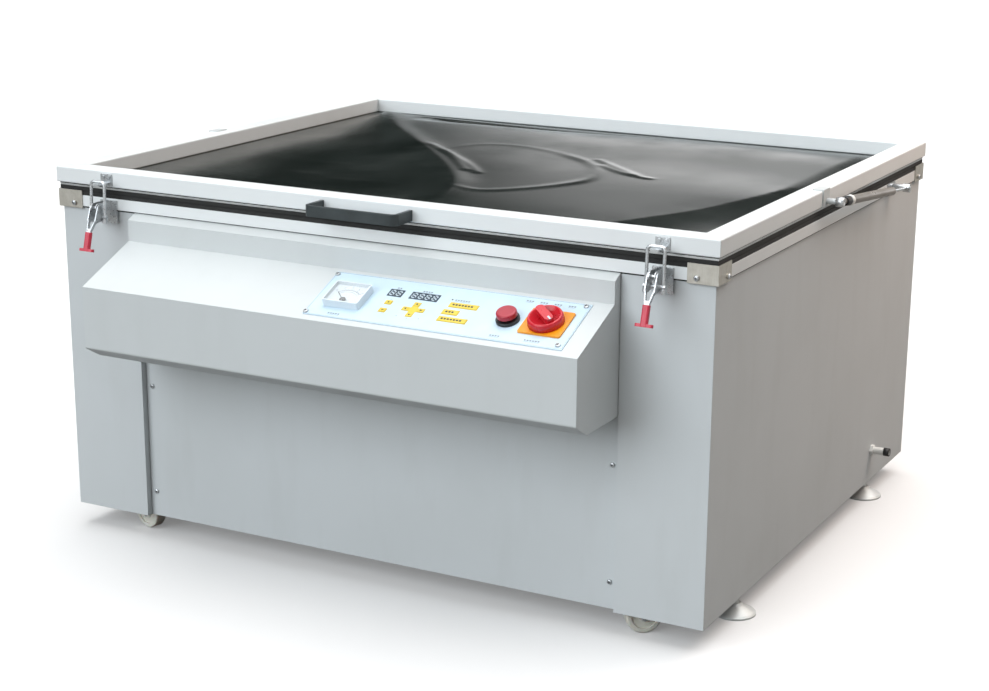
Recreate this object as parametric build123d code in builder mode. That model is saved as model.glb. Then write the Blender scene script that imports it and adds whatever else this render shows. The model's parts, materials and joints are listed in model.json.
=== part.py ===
from build123d import *
import os
from math import atan2, cos, hypot, radians, sin

# Screen printing exposure unit: a light cabinet with a sloping control console, a glass bed,
# and a hinged vacuum lid that carries a clamped rubber blanket.
# +X is to the operator's right, +Y to the rear and +Z up, in millimetres, feet on z = 0.

# Driving sizes: cabinet
cab_w = 1236.0
cab_d = 1036.0
cab_bottom = 40.0
cab_top = 596.0
sheet = 1.5
floor_z = 84.0
tube = 25.0
tube_wall = 2.0
weld_gap = 0.1
foot_boss = 26.0
stile_w = 156.0
panel_recess = 12.0
panel_gap = 1.0
pass_gap = 0.5
panel_flange = 24.0
skirt_lip = 8.0
rear_return = 24.0
tray_z = 520.0

# Driving sizes: console
console_under = 367.0
console_chamfer_d = 20.0
console_chamfer_h = 9.5
console_band_h = 36.5
console_slope_d = 127.0
console_slope_h = 55.0
console_fascia_h = 107.0
console_bevel_d = 37.0
console_bend_r = 5.0
console_seat = 12.0

# Driving sizes: things set in the panels
front_screw_in = 12.0
front_screw_zs = (86.0, 283.0)
screw_head_r = 4.0
screw_head_h = 2.2
screw_shank_r = 2.0
exhaust_back = 312.0
exhaust_z = 102.0
exhaust_tube_r = 7.0
exhaust_bore_r = 5.0
exhaust_nut_r = 10.5
exhaust_nut_t = 6.0
exhaust_out = 36.0
exhaust_plug = 20.0
fan_x = -300.0
fan_z = 240.0
fan_slots = 9
fan_grille_w = 100.0
slot_pitch = 12.0
slot_h = 5.0
vent_z = 470.0
vent_columns = 5
vent_rows = 5
vent_pitch_x = 210.0
vent_w = 150.0

# Driving sizes: controls, as places along the console (u) and down its slope (v)
plate_us = (-28.0, 430.0)
plate_vs = (9.5, 125.5)
plate_t = 1.5
plate_screws = ((-24.0, 17.0), (422.0, 16.0), (420.0, 116.0), (-25.0, 120.0))
meter_u = 29.0
meter_v = 74.0
meter_w = 66.0
meter_h = 53.0
meter_high = 13.0
meter_rim = 2.5
meter_window_t = 2.0
meter_corner_r = 3.0
meter_pivot_v = 90.0
needle_len = 27.0
needle_w = 1.2
needle_t = 0.6
needle_hub_r = 2.6
needle_pin_r = 1.0
needle_below_window = 3.0
needle_pin_short = 1.0
needle_rest_deg = 45.0
windows = ((101.0, 45.0, 26.0, 18.0), (153.5, 45.0, 51.0, 18.0))
window_proud = 0.6
key_size = (11.0, 9.0)
key_high = 1.0
key_corner_r = 2.0
pair_keys = ((101.0, 70.0), (101.0, 91.0))
cross_centre = (151.0, 80.0)
cross_reach = 14.0
wide_keys = ((228.5, 55.0, 49.0), (214.5, 74.0, 27.0), (226.5, 92.0, 49.0))
wide_key_h = 11.0
button_u = 315.0
button_v = 73.0
button_head_r = 16.5
button_head_h = 8.0
button_stem_r = 9.0
button_stem_len = 20.0
button_travel = 4.0
button_edge_r = 3.0
collar_r = 19.0
collar_h = 5.0
isolator_u = 379.0
isolator_v = 69.0
isolator_w = 72.0
isolator_h = 62.0
isolator_t = 3.0
isolator_corner_r = 3.0
isolator_neck_r = 11.0
isolator_body_w = 52.0
isolator_body_h = 46.0
isolator_body_deep = 42.0
knob_r = 29.0
knob_rim_h = 12.0
knob_grip_h = 24.0
knob_grip_w = 15.0
knob_grip_in = 3.0
knob_rim_taper = 4.0
knob_grip_taper = 3.0
knob_shaft_r = 5.0
knob_shaft_len = 14.0
knob_rest_deg = -40.0
knob_float = 0.5

# Driving sizes: table, glass and seals
rail_w = 42.0
rail_bottom = cab_top + 1.5
rail_h = 19.5
rail_overhang = 3.5
glass_t = 10.0
glass_ledge = 14.0
glass_gap = 0.5
gasket_w = 25.0
gasket_h = 14.7
gasket_inset = 0.5
gasket_groove = 1.2
seat_w = 10.0
bracket_leg = 51.0
bracket_t = 2.0
bracket_below = 3.5
bracket_above = 8.0
bracket_screw_in = 35.0
bracket_screw_up = 5.5

# Driving sizes: lid and blanket
lid_over = 7.0
lid_tube_w = 40.0
lid_tube_h = 28.0
lid_wall = 2.0
lid_edge_r = 2.5
lid_bottom = 637.0
blanket_t = 1.8
blanket_inset = 4.0
clamp_h = 3.2
clamp_w = 27.0
blanket_slack_in = 43.0
blanket_sag = 8.0
fold_stations = (-1.0, -0.55, 0.0, 0.5, 1.0)
fold_edge_rise = 0.6
folds = (
    (0.13, (0.0, 0.02, 0.04, 0.02, 0.0), 0.10, 7.0),
    (0.34, (0.0, -0.02, -0.05, 0.03, 0.06), 0.12, 9.0),
    (0.58, (0.0, 0.04, 0.03, -0.02, -0.04), 0.14, 12.0),
    (0.80, (0.0, -0.02, 0.0, 0.03, 0.02), 0.10, 14.0),
)

# Driving sizes: lid hinges
hinge_x = 400.0
hinge_out = 8.0
hinge_low = 1.0
hinge_barrel_r = 5.5
hinge_pin_r = 3.0
hinge_len = 70.0
hinge_mid = 24.0
hinge_plate_t = 3.0
hinge_plate_in = 3.0
hinge_web_in = 4.0
run_gap = 0.05
side_gap = 0.3

# Driving sizes: gas struts
strut_out = 25.0
strut_lid_y = -55.0
strut_lid_up = 9.0
strut_base_y = 328.0
strut_base_z = 609.0
strut_stud_r = 4.0
strut_eye_r = 8.0
strut_eye_w = 12.0
strut_tube_r = 7.75
strut_bore_r = 6.0
strut_tube_len = 236.0
strut_tube_start = 56.0
strut_rod_r = 3.0
strut_rod_len = 300.0
strut_plate_w = 30.0
strut_plate_t = 2.0
strut_plate_over = 18.0
strut_plate_aside = 4.0
strut_end_wall = 8.0
strut_piston = 6.0
strut_neck_in = 2.5

# Driving sizes: latches, left and right
latch_ins = (104.0, 85.0)
latch_base_w = 35.0
latch_base_low = 574.0
latch_base_high = 614.0
latch_plate_t = 2.5
latch_pivot_out = 38.0
latch_pivot_z = 606.0
latch_pin_r = 2.5
latch_ear_x = 4.0
latch_ear_r = 8.0
latch_arm_x = 6.8
latch_arm_t = 2.0
latch_throw_y = 4.5
latch_throw_z = -16.0
latch_bar_r = 2.75
latch_cross_r = 3.4
latch_cross_over = 4.0
latch_leg_x = 14.2
latch_nut_r = 5.0
latch_nut_h = 6.0
latch_foot = 10.0
latch_bend_r = 6.5
latch_hook_in = 3.0
latch_arm_r = 6.5
latch_neck_r = 3.5
latch_neck = (-11.5, -21.0)
latch_grip_top = (-22.0, -39.0)
latch_grip_end = (-31.0, -71.0)
latch_arm_deep = 6.0
latch_stem_w = 8.0
latch_stem_t = 3.0
latch_grip_w = 11.5
latch_grip_t = 9.0
latch_grip_round = 3.0
latch_tee_w = 29.0
latch_tee_t = 8.0
latch_tee_h = 5.0
keeper_w = 24.0
keeper_plate_t = 2.0
keeper_below = 6.0
keeper_above = 5.0
keeper_tip = 5.5
keeper_lip = 2.0
keeper_screw_in = 6.0
keeper_screw_down = 10.0
keeper_screw_r = 3.0
keeper_ledge_z = 646.0
keeper_rest_gap = 1.3
keeper_ledge_t = 2.5

# Driving sizes: lid handle
handle_x = 12.5
handle_half = 86.5
handle_reach = 53.0
handle_strap = 6.0
handle_h = 18.0
handle_z = 639.5

# Driving sizes: feet and casters
foot_in = 18.0
foot_end = 183.0
foot_r = 35.0
foot_stem_r = 6.0
foot_neck_r = 10.0
foot_h = 20.0
foot_stem_up = 15.0
foot_rim = 3.0
foot_cone = 6.0
foot_neck_h = 4.0
foot_nut_h = 10.0
foot_top_nut_h = 8.0
caster_in = 107.0
caster_end = 52.0
caster_trail = 18.0
caster_wheel_r = 30.0
caster_wheel_w = 22.0
caster_lift = 0.4
caster_plate = 60.0
caster_plate_t = 2.5
caster_axle_r = 4.0
caster_fork_t = 2.5
caster_spin = 0.6
caster_pin_r = 5.0
caster_head_r = 20.0
caster_hub_gap = 0.8
caster_hub_r = 11.0
caster_rim = 8.0
caster_dish = 2.5
caster_tread_r = 3.0
caster_eye = 9.0
caster_aims = {"front_left": -14.0, "front_right": 220.0, "rear_left": 195.0, "rear_right": 160.0}

# Driving sizes: works inside
pump_x = 330.0
pump_w = 240.0
pump_d = 120.0
pump_base_h = 36.0
pump_motor_r = 48.0
pump_motor_up = 70.0
pump_motor_in = 20.0
pump_head_r = 24.0
pump_head_in = 50.0
pump_head_zs = (60.0, 150.0)
ballast_x = -330.0
ballast_w = 180.0
ballast_d = 120.0
ballast_h = 70.0
ballast_cover = (140.0, 60.0, 20.0)
fan_size = 120.0
fan_t = 38.0
fan_corner_r = 5.0
fan_bore_r = 57.0
fan_hub_r = 21.0
fan_pin_r = 4.0
fan_strut_w = 6.0
fan_strut_t = 3.0
fan_gap = 4.0
fan_blades = 7
fan_pitch = 38.0
fan_chord = 26.0
fan_blade_t = 1.6
tray_t = 1.0
tray_gap = 4.0
tray_in = 43.0
tray_end = 58.0
tray_h = 45.0
holder_w = 24.0
holder_h = 42.0
holder_end = 10.0
lamp_r = 13.0
lamp_count = 14
lamp_pitch = 62.0

# Places that follow from the sizes
lid_w = cab_w + 2 * lid_over
lid_d = cab_d + 2 * lid_over
front_reach = cab_d / 2 + console_chamfer_d + console_slope_d
back_reach = lid_d / 2 + hinge_out + hinge_barrel_r
mid_y = (front_reach - back_reach) / 2
front = mid_y - cab_d / 2
back = mid_y + cab_d / 2
side = cab_w / 2
seam = side - stile_w
front_screw_x = seam - front_screw_in
panel_y = front + panel_recess
flange_y = panel_y + sheet
tube_y = flange_y + sheet
seat_y = tube_y + console_seat
exhaust_y = mid_y + exhaust_back
chassis_top = cab_top - sheet
rail_top = rail_bottom + rail_h
rail_x = side + rail_overhang
rail_front = front - rail_overhang
rail_back = back + rail_overhang
lid_front = mid_y - lid_d / 2
lid_back = mid_y + lid_d / 2
lid_side = lid_w / 2
strut_x = lid_side + strut_out
latch_xs = (latch_ins[0] - side, side - latch_ins[1])
foot_x = side - foot_in
foot_y = cab_d / 2 - foot_end
caster_x = side - caster_in
caster_y = cab_d / 2 - caster_end
tray_wall_x = side - tray_in
tray_half_d = cab_d / 2 - tray_end
lid_top = lid_bottom + lid_tube_h
blanket_low = lid_bottom - blanket_t
clamp_top = blanket_low
clamp_low = clamp_top - clamp_h
hinge_y = lid_back + hinge_out
hinge_z = lid_bottom - hinge_low
slope_angle = atan2(console_slope_h, console_slope_d)
slope_y = front - console_chamfer_d
slope_z = cab_top - console_chamfer_h - console_band_h
slope = Plane(
    origin=(0, slope_y, slope_z),
    x_dir=(1, 0, 0),
    z_dir=(0, -sin(slope_angle), cos(slope_angle)),
)
slope_axis = Axis(slope.origin, slope.z_dir)

os.makedirs("parts", exist_ok=True)


def slab(x0, x1, y0, y1, z0, z1, mode=Mode.ADD):
    """A box between two corners, in the part being built."""
    centre = ((x0 + x1) / 2, (y0 + y1) / 2, (z0 + z1) / 2)
    with Locations(centre):
        Box(abs(x1 - x0), abs(y1 - y0), abs(z1 - z0), mode=mode)


def bar_x(x0, x1, y, z, r, mode=Mode.ADD):
    """A round bar or bore along X."""
    with Locations(Location(((x0 + x1) / 2, y, z), (0, 90, 0))):
        Cylinder(r, abs(x1 - x0), mode=mode)


def bar_z(x, y, z0, z1, r, mode=Mode.ADD):
    """A round bar or bore along Z."""
    with Locations((x, y, (z0 + z1) / 2)):
        Cylinder(r, abs(z1 - z0), mode=mode)


def bar_y(x, z, y0, y1, r, mode=Mode.ADD):
    """A round bar or bore along Y."""
    with Locations(Location((x, (y0 + y1) / 2, z), (90, 0, 0))):
        Cylinder(r, abs(y1 - y0), mode=mode)


def square_tube(x0, x1, y0, y1, z0, z1):
    """A hollow length of tube along its longest side, a weld gap short at each end."""
    spans = [x1 - x0, y1 - y0, z1 - z0]
    along = spans.index(max(spans))
    trim = [0.0, 0.0, 0.0]
    trim[along] = weld_gap
    wall = [tube_wall, tube_wall, tube_wall]
    wall[along] = weld_gap
    slab(x0 + trim[0], x1 - trim[0], y0 + trim[1], y1 - trim[1], z0 + trim[2], z1 - trim[2])
    slab(x0 + wall[0], x1 - wall[0], y0 + wall[1], y1 - wall[1], z0 + wall[2], z1 - wall[2],
         mode=Mode.SUBTRACT)


def save(builder, name):
    """Labels a finished piece and writes its STEP file."""
    builder.part.label = name
    export_step(builder.part, f"parts/{name}.step")


# Welded chassis of square tube: two frames, four uprights, the tray runners and a console rail
tube_x = side - sheet
tube_back = back - sheet
with BuildPart() as chassis_frame:
    for z0 in (floor_z, chassis_top - tube):
        for x0 in (-tube_x, tube_x - tube):
            square_tube(x0, x0 + tube, tube_y, tube_back, z0, z0 + tube)
        for y0 in (tube_y, tube_back - tube):
            square_tube(-tube_x + tube, tube_x - tube, y0, y0 + tube, z0, z0 + tube)
    for x0 in (-tube_x, tube_x - tube):
        for y0 in (tube_y, tube_back - tube):
            square_tube(x0, x0 + tube, y0, y0 + tube, floor_z + tube, chassis_top - tube)
        square_tube(x0, x0 + tube, tube_y + tube, tube_back - tube, tray_z - tube, tray_z)
    rail_low = console_under - tube
    square_tube(-tube_x + tube, tube_x - tube, tube_y, tube_y + tube, rail_low, rail_low + tube)
    for sx in (-1, 1):
        for y in (mid_y - foot_y, mid_y + foot_y):
            slab(sx * (tube_x - tube), sx * tube_x, y - foot_boss / 2, y + foot_boss / 2,
                 floor_z, floor_z + tube)
            bar_z(sx * foot_x, y, floor_z, floor_z + tube, foot_stem_r + run_gap, mode=Mode.SUBTRACT)
    bar_x(tube_x - tube - 1, tube_x + 1, exhaust_y, exhaust_z, exhaust_tube_r + pass_gap, mode=Mode.SUBTRACT)
save(chassis_frame, "chassis_frame")

# Side panels: each is one bent sheet with the front stile, its inner flange, a rear return and a
# lip along the bottom, which stops short of the casters' swing at the front
caster_sweep = caster_x + caster_trail + caster_wheel_r + panel_gap
for sx, name in ((-1, "side_panel_left"), (1, "side_panel_right")):
    stile_x = seam + panel_gap
    flange_x = seam - panel_flange
    with BuildPart() as side_panel:
        slab(sx * (side - sheet), sx * side, front, back, cab_bottom, cab_top)
        slab(sx * stile_x, sx * side, front, front + sheet, cab_bottom, cab_top)
        slab(sx * stile_x, sx * (stile_x + sheet), front, tube_y, cab_bottom, cab_top)
        slab(sx * flange_x, sx * (stile_x + sheet), flange_y, tube_y, cab_bottom, console_under - 2 * sheet)
        slab(sx * (side - rear_return), sx * side, back - sheet, back, cab_bottom, cab_top)
        slab(sx * (side - skirt_lip), sx * side, front, back, cab_bottom, cab_bottom + sheet)
        slab(sx * caster_sweep, sx * side, front, front + skirt_lip, cab_bottom, cab_bottom + sheet)
        for z in front_screw_zs:
            bar_y(sx * front_screw_x, z, flange_y - 1, tube_y + 1, screw_shank_r + run_gap,
                  mode=Mode.SUBTRACT)
        if sx > 0:
            bar_x(side - sheet - 1, side + 1, exhaust_y, exhaust_z, exhaust_tube_r + run_gap,
                  mode=Mode.SUBTRACT)
    save(side_panel, name)

# Back panel with cooling slots and the fan's grille
back_half = side - rear_return - panel_gap
with BuildPart() as back_panel:
    slab(-back_half, back_half, back - sheet, back, cab_bottom, cab_top)
    grille = Plane(origin=(fan_x, back, fan_z), x_dir=(-1, 0, 0), z_dir=(0, 1, 0))
    with BuildSketch(grille):
        with GridLocations(0, slot_pitch, 1, fan_slots):
            SlotOverall(fan_grille_w, slot_h)
    extrude(amount=-2 * sheet, mode=Mode.SUBTRACT)
    vents = Plane(origin=(0, back, vent_z), x_dir=(-1, 0, 0), z_dir=(0, 1, 0))
    with BuildSketch(vents):
        with GridLocations(vent_pitch_x, slot_pitch, vent_columns, vent_rows):
            SlotOverall(vent_w, slot_h)
    extrude(amount=-2 * sheet, mode=Mode.SUBTRACT)
save(back_panel, "back_panel")

# Bottom panel under the chassis, holed for the feet
with BuildPart() as bottom_panel:
    slab(-tube_x, tube_x, tube_y, tube_back, floor_z - sheet, floor_z)
    for x in (-foot_x, foot_x):
        for y in (mid_y - foot_y, mid_y + foot_y):
            bar_z(x, y, floor_z - 2 * sheet, floor_z + sheet, foot_stem_r + 1, mode=Mode.SUBTRACT)
save(bottom_panel, "bottom_panel")

# Front access panel between the stiles, below the console
with BuildPart() as front_panel:
    slab(-seam, seam, panel_y, flange_y, cab_bottom, console_under - 2 * sheet)
    for x in (-front_screw_x, front_screw_x):
        for z in front_screw_zs:
            bar_y(x, z, panel_y - 1, flange_y + 1, screw_shank_r + run_gap, mode=Mode.SUBTRACT)
save(front_panel, "front_panel")

# Console housing: one folded sheet with end caps, open to the cabinet behind
nose_y = slope_y - console_slope_d
nose_z = slope_z - console_slope_h
chin_z = nose_z - console_fascia_h
under_y = nose_y + console_bevel_d
console_outline = [
    (seat_y, cab_top),
    (front, cab_top),
    (slope_y, cab_top - console_chamfer_h),
    (slope_y, slope_z),
    (nose_y, nose_z),
    (nose_y, chin_z),
    (under_y, console_under),
    (seat_y, console_under),
]
with BuildPart() as console_housing:
    for inside in (0, sheet):
        with BuildSketch(Plane.YZ.offset(inside - seam)) as console_side:
            with BuildLine():
                Polyline(*console_outline, close=True)
            make_face()
            bends = console_side.vertices().sort_by(Axis.Y)[0:3]
            fillet(bends, console_bend_r)
            if inside:
                offset(amount=-inside, mode=Mode.REPLACE)
        extrude(amount=2 * (seam - inside), mode=Mode.SUBTRACT if inside else Mode.ADD)
    slab(-seam - 1, seam + 1, tube_y, seat_y + 1, console_under + sheet, cab_top - sheet,
         mode=Mode.SUBTRACT)
    with BuildSketch(slope):
        with Locations((meter_u, -meter_v)):
            Rectangle(meter_w - 2 * meter_rim, meter_h - 2 * meter_rim)
        with Locations((isolator_u, -isolator_v)):
            Circle(isolator_neck_r + 0.5)
        with Locations((button_u, -button_v)):
            Circle(button_stem_r + 0.5)
    extrude(amount=-2 * sheet, mode=Mode.SUBTRACT)
save(console_housing, "console_housing")


def on_slope(u, v, h=0.0):
    """The plane of the console's slope, moved to a place on it and raised by h."""
    return Plane(
        origin=slope.from_local_coords((u, -v, h)),
        x_dir=slope.x_dir,
        z_dir=slope.z_dir,
    )


# Control plate laid on the slope, cut out for the meter, displays, button and isolator
plate_mid = ((plate_us[0] + plate_us[1]) / 2, (plate_vs[0] + plate_vs[1]) / 2)
with BuildPart() as control_plate:
    with BuildSketch(on_slope(*plate_mid)):
        Rectangle(plate_us[1] - plate_us[0], plate_vs[1] - plate_vs[0])
    extrude(amount=plate_t)
    with BuildSketch(on_slope(0, 0)):
        with Locations((meter_u, -meter_v)):
            Rectangle(meter_w - 2 * meter_rim, meter_h - 2 * meter_rim)
        for u, v, w, h in windows:
            with Locations((u, -v)):
                Rectangle(w, h)
        with Locations((button_u, -button_v)):
            Circle(button_stem_r + pass_gap)
        with Locations((isolator_u, -isolator_v)):
            Circle(isolator_neck_r + pass_gap)
        for u, v in plate_screws:
            with Locations((u, -v)):
                Circle(screw_shank_r + run_gap)
    extrude(amount=plate_t, mode=Mode.SUBTRACT)
save(control_plate, "control_plate")

# Display modules: a dark lens in each window of the plate
with BuildPart() as display_modules:
    for u, v, w, h in windows:
        with BuildSketch(on_slope(u, v)):
            Rectangle(w, h)
        extrude(amount=plate_t + window_proud)
save(display_modules, "display_modules")

# Panel meter: open-fronted case, clear window, and a needle on a fixed pin
with BuildPart() as meter_case:
    with BuildSketch(on_slope(meter_u, meter_v, plate_t)):
        RectangleRounded(meter_w, meter_h, meter_corner_r)
    extrude(amount=meter_high)
    with BuildSketch(on_slope(meter_u, meter_v, plate_t + meter_rim)):
        Rectangle(meter_w - 2 * meter_rim, meter_h - 2 * meter_rim)
    extrude(amount=meter_high, mode=Mode.SUBTRACT)
    with BuildSketch(on_slope(meter_u, meter_pivot_v, plate_t + meter_rim)):
        Circle(needle_pin_r)
    extrude(amount=meter_high - meter_rim - meter_window_t - needle_pin_short)
save(meter_case, "meter_case")

with BuildPart() as meter_window:
    with BuildSketch(on_slope(meter_u, meter_v, plate_t + meter_high - meter_window_t)):
        Rectangle(meter_w - 2 * meter_rim, meter_h - 2 * meter_rim)
    extrude(amount=meter_window_t)
save(meter_window, "meter_window")

needle_high = plate_t + meter_high - meter_window_t - needle_below_window
needle_plane = on_slope(meter_u, meter_pivot_v, needle_high)
with BuildPart() as meter_needle:
    with BuildSketch(needle_plane):
        with Locations(Location((0, 0), needle_rest_deg)):
            with Locations((0, needle_len / 2)):
                Rectangle(needle_w, needle_len)
        Circle(needle_hub_r)
        Circle(needle_pin_r + run_gap, mode=Mode.SUBTRACT)
    extrude(amount=needle_t)
save(meter_needle, "meter_needle")

# Embossed keys of the membrane keypad
with BuildPart() as keypad_keys:
    cross_u, cross_v = cross_centre
    small = list(pair_keys)
    small += [(cross_u, cross_v - cross_reach), (cross_u, cross_v + cross_reach)]
    small += [(cross_u - cross_reach, cross_v), (cross_u + cross_reach, cross_v)]
    for u, v in small:
        with BuildSketch(on_slope(u, v, plate_t)):
            RectangleRounded(*key_size, key_corner_r)
        extrude(amount=key_high)
    for u, v, w in wide_keys:
        with BuildSketch(on_slope(u, v, plate_t)):
            RectangleRounded(w, wide_key_h, key_corner_r)
        extrude(amount=key_high)
save(keypad_keys, "keypad_keys")

# Stop button: collar fixed in the plate, and a mushroom head that pushes in
with BuildPart() as button_collar:
    with BuildSketch(on_slope(button_u, button_v, plate_t)):
        Circle(collar_r)
        Circle(button_stem_r + run_gap, mode=Mode.SUBTRACT)
    extrude(amount=collar_h)
    chamfer(button_collar.faces().sort_by(slope_axis)[-1].outer_wire().edges(), 1)
save(button_collar, "button_collar")

head_low = plate_t + collar_h + button_travel + pass_gap
with BuildPart() as stop_button:
    with BuildSketch(on_slope(button_u, button_v, head_low - button_stem_len)):
        Circle(button_stem_r)
    extrude(amount=button_stem_len)
    with BuildSketch(on_slope(button_u, button_v, head_low)):
        Circle(button_head_r)
    extrude(amount=button_head_h)
    fillet(stop_button.edges().filter_by(GeomType.CIRCLE).sort_by(slope_axis)[-1], button_edge_r)
save(stop_button, "stop_button")

# Main isolator: plate and switch body fixed, round knob with a diagonal grip that turns
with BuildPart() as isolator_plate:
    with BuildSketch(on_slope(isolator_u, isolator_v, plate_t)):
        RectangleRounded(isolator_w, isolator_h, isolator_corner_r)
        Circle(isolator_neck_r + pass_gap, mode=Mode.SUBTRACT)
    extrude(amount=isolator_t)
save(isolator_plate, "isolator_plate")

with BuildPart() as isolator_body:
    with BuildSketch(on_slope(isolator_u, isolator_v, -sheet)):
        Rectangle(isolator_body_w, isolator_body_h)
    extrude(amount=-isolator_body_deep)
    with BuildSketch(on_slope(isolator_u, isolator_v, -sheet)):
        Circle(isolator_neck_r)
    extrude(amount=sheet + plate_t + isolator_t)
    with BuildSketch(on_slope(isolator_u, isolator_v, plate_t + isolator_t)):
        Circle(knob_shaft_r + run_gap)
    extrude(amount=-knob_shaft_len - 1, mode=Mode.SUBTRACT)
save(isolator_body, "isolator_body")

knob_low = plate_t + isolator_t + knob_float
with BuildPart() as isolator_knob:
    with BuildSketch(on_slope(isolator_u, isolator_v, knob_low)):
        Circle(knob_r)
    extrude(amount=knob_rim_h, taper=knob_rim_taper)
    with BuildSketch(on_slope(isolator_u, isolator_v, knob_low)):
        with Locations(Location((0, 0), knob_rest_deg)):
            SlotOverall(2 * (knob_r - knob_grip_in), knob_grip_w)
    extrude(amount=knob_grip_h, taper=knob_grip_taper)
    with BuildSketch(on_slope(isolator_u, isolator_v, knob_low)):
        Circle(knob_shaft_r)
    extrude(amount=-knob_shaft_len)
save(isolator_knob, "isolator_knob")

# Screws with round heads in the front panel and the control plate
with BuildPart() as case_screws:
    for x in (-front_screw_x, front_screw_x):
        for z in front_screw_zs:
            bar_y(x, z, panel_y - screw_head_h, panel_y, screw_head_r)
            bar_y(x, z, panel_y, tube_y, screw_shank_r)
    for u, v in plate_screws:
        with BuildSketch(on_slope(u, v, plate_t)):
            Circle(screw_head_r)
        extrude(amount=screw_head_h)
        with BuildSketch(on_slope(u, v)):
            Circle(screw_shank_r)
        extrude(amount=plate_t)
save(case_screws, "case_screws")

# Table frame: four rails with a ledge for the glass, seated on the chassis
table_in = rail_w - glass_ledge
with BuildPart() as table_frame:
    for sx in (-1, 1):
        x_out = sx * rail_x
        x_mid = sx * (rail_x - table_in)
        x_in = sx * (rail_x - rail_w)
        slab(x_out, x_mid, rail_front, rail_back, rail_bottom, rail_top)
        slab(x_mid, x_in, rail_front, rail_back, rail_bottom, rail_top - glass_t)
        slab(sx * (tube_x - 1), sx * (tube_x - tube + 1), tube_y + tube, tube_back - tube,
             chassis_top, rail_bottom)
    for y_out, sy in ((rail_front, 1), (rail_back, -1)):
        x_end = rail_x - rail_w - weld_gap
        y_mid = y_out + sy * table_in
        y_in = y_out + sy * rail_w
        slab(-x_end, x_end, y_out, y_mid, rail_bottom, rail_top)
        slab(-x_end, x_end, y_mid, y_in, rail_bottom, rail_top - glass_t)
        y_seat = sorted((y_out + sy * (rail_w - seat_w), y_in))
        slab(-x_end, x_end, y_seat[0], y_seat[1], chassis_top, rail_bottom)
    for sx in (-1, 1):
        for y0, y1 in ((rail_front, rail_front + table_in), (rail_back - table_in, rail_back)):
            slab(sx * (rail_x - table_in), sx * (rail_x - rail_w), y0, y1, rail_bottom, rail_top)
save(table_frame, "table_frame")

# Glass bed in the rails' rebate
glass_x = rail_x - table_in - glass_gap
glass_y0 = rail_front + table_in + glass_gap
glass_y1 = rail_back - table_in - glass_gap
with BuildPart() as glass_plate:
    slab(-glass_x, glass_x, glass_y0, glass_y1, rail_top - glass_t, rail_top)
save(glass_plate, "glass_plate")


def strips(x, y0, y1, width, z0, z1, inset=0.0):
    """Four butted strips round the table; inset draws in their outer faces alone."""
    for sx in (-1, 1):
        slab(sx * (x - width), sx * (x - inset), y0 + inset, y1 - inset, z0, z1)
    x_end = x - width - weld_gap
    slab(-x_end, x_end, y0 + inset, y0 + width, z0, z1)
    slab(-x_end, x_end, y1 - width, y1 - inset, z0, z1)


# Rubber vacuum seal on the rails: two beads with a groove between them
seal = (rail_x - gasket_inset, rail_front + gasket_inset, rail_back - gasket_inset, gasket_w)
groove_low = rail_top + gasket_h / 2 - gasket_groove
groove_high = rail_top + gasket_h / 2 + gasket_groove
with BuildPart() as glass_gasket:
    strips(*seal, rail_top, groove_low)
    strips(*seal, groove_low, groove_high, inset=gasket_groove)
    strips(*seal, groove_high, rail_top + gasket_h)
save(glass_gasket, "glass_gasket")

# Stainless corner brackets that tie the rails to the cabinet
bracket_x = rail_x + bracket_t
with BuildPart() as corner_brackets:
    for sx in (-1, 1):
        for sy, y_face in ((1, rail_front), (-1, rail_back)):
            y_out = y_face - sy * bracket_t
            z0 = rail_bottom - bracket_below
            z1 = rail_top + bracket_above
            slab(sx * (bracket_x - bracket_leg), sx * bracket_x, y_out, y_face, z0, z1)
            slab(sx * rail_x, sx * bracket_x, y_out, y_out + sy * bracket_leg, z0, z1)
            screw_z = rail_bottom + bracket_screw_up
            screw_y = y_out + sy * bracket_screw_in
            screw_x = sx * (bracket_x - bracket_screw_in)
            bar_y(screw_x, screw_z, y_out, y_out - sy * screw_head_h, screw_head_r)
            bar_x(sx * bracket_x, sx * (bracket_x + screw_head_h), screw_y, screw_z, screw_head_r)
save(corner_brackets, "corner_brackets")

# Lid frame: four mitred lengths of rectangular tube
lid_in_x = lid_side - lid_tube_w
lid_in_front = lid_front + lid_tube_w
lid_in_back = lid_back - lid_tube_w
mitre = weld_gap / 2
with BuildPart() as lid_frame:
    for y_out, y_in in ((lid_front, lid_in_front), (lid_back, lid_in_back)):
        with BuildSketch(Plane.XY.offset(lid_bottom)) as cross_tube:
            with BuildLine():
                Polyline(
                    (-lid_side + mitre, y_out),
                    (lid_side - mitre, y_out),
                    (lid_in_x - mitre, y_in),
                    (-lid_in_x + mitre, y_in),
                    close=True,
                )
            make_face()
        extrude(amount=lid_tube_h)
        fillet(lid_frame.edges(Select.LAST).filter_by(Axis.X), lid_edge_r)
    for sx in (-1, 1):
        with BuildSketch(Plane.XY.offset(lid_bottom)) as side_tube:
            with BuildLine():
                Polyline(
                    (sx * lid_side, lid_front + mitre),
                    (sx * lid_side, lid_back - mitre),
                    (sx * lid_in_x, lid_in_back - mitre),
                    (sx * lid_in_x, lid_in_front + mitre),
                    close=True,
                )
            make_face()
        extrude(amount=lid_tube_h)
        fillet(lid_frame.edges(Select.LAST).filter_by(Axis.Y), lid_edge_r)
    bore_z = (lid_bottom + lid_wall, lid_top - lid_wall)
    bore_x = lid_side - lid_wall
    for y0, y1 in ((lid_front, lid_in_front), (lid_in_back, lid_back)):
        slab(-bore_x, bore_x, y0 + lid_wall, y1 - lid_wall, *bore_z, mode=Mode.SUBTRACT)
    for sx in (-1, 1):
        slab(sx * bore_x, sx * (lid_in_x + lid_wall), lid_front + lid_wall, lid_back - lid_wall, *bore_z,
             mode=Mode.SUBTRACT)
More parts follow.
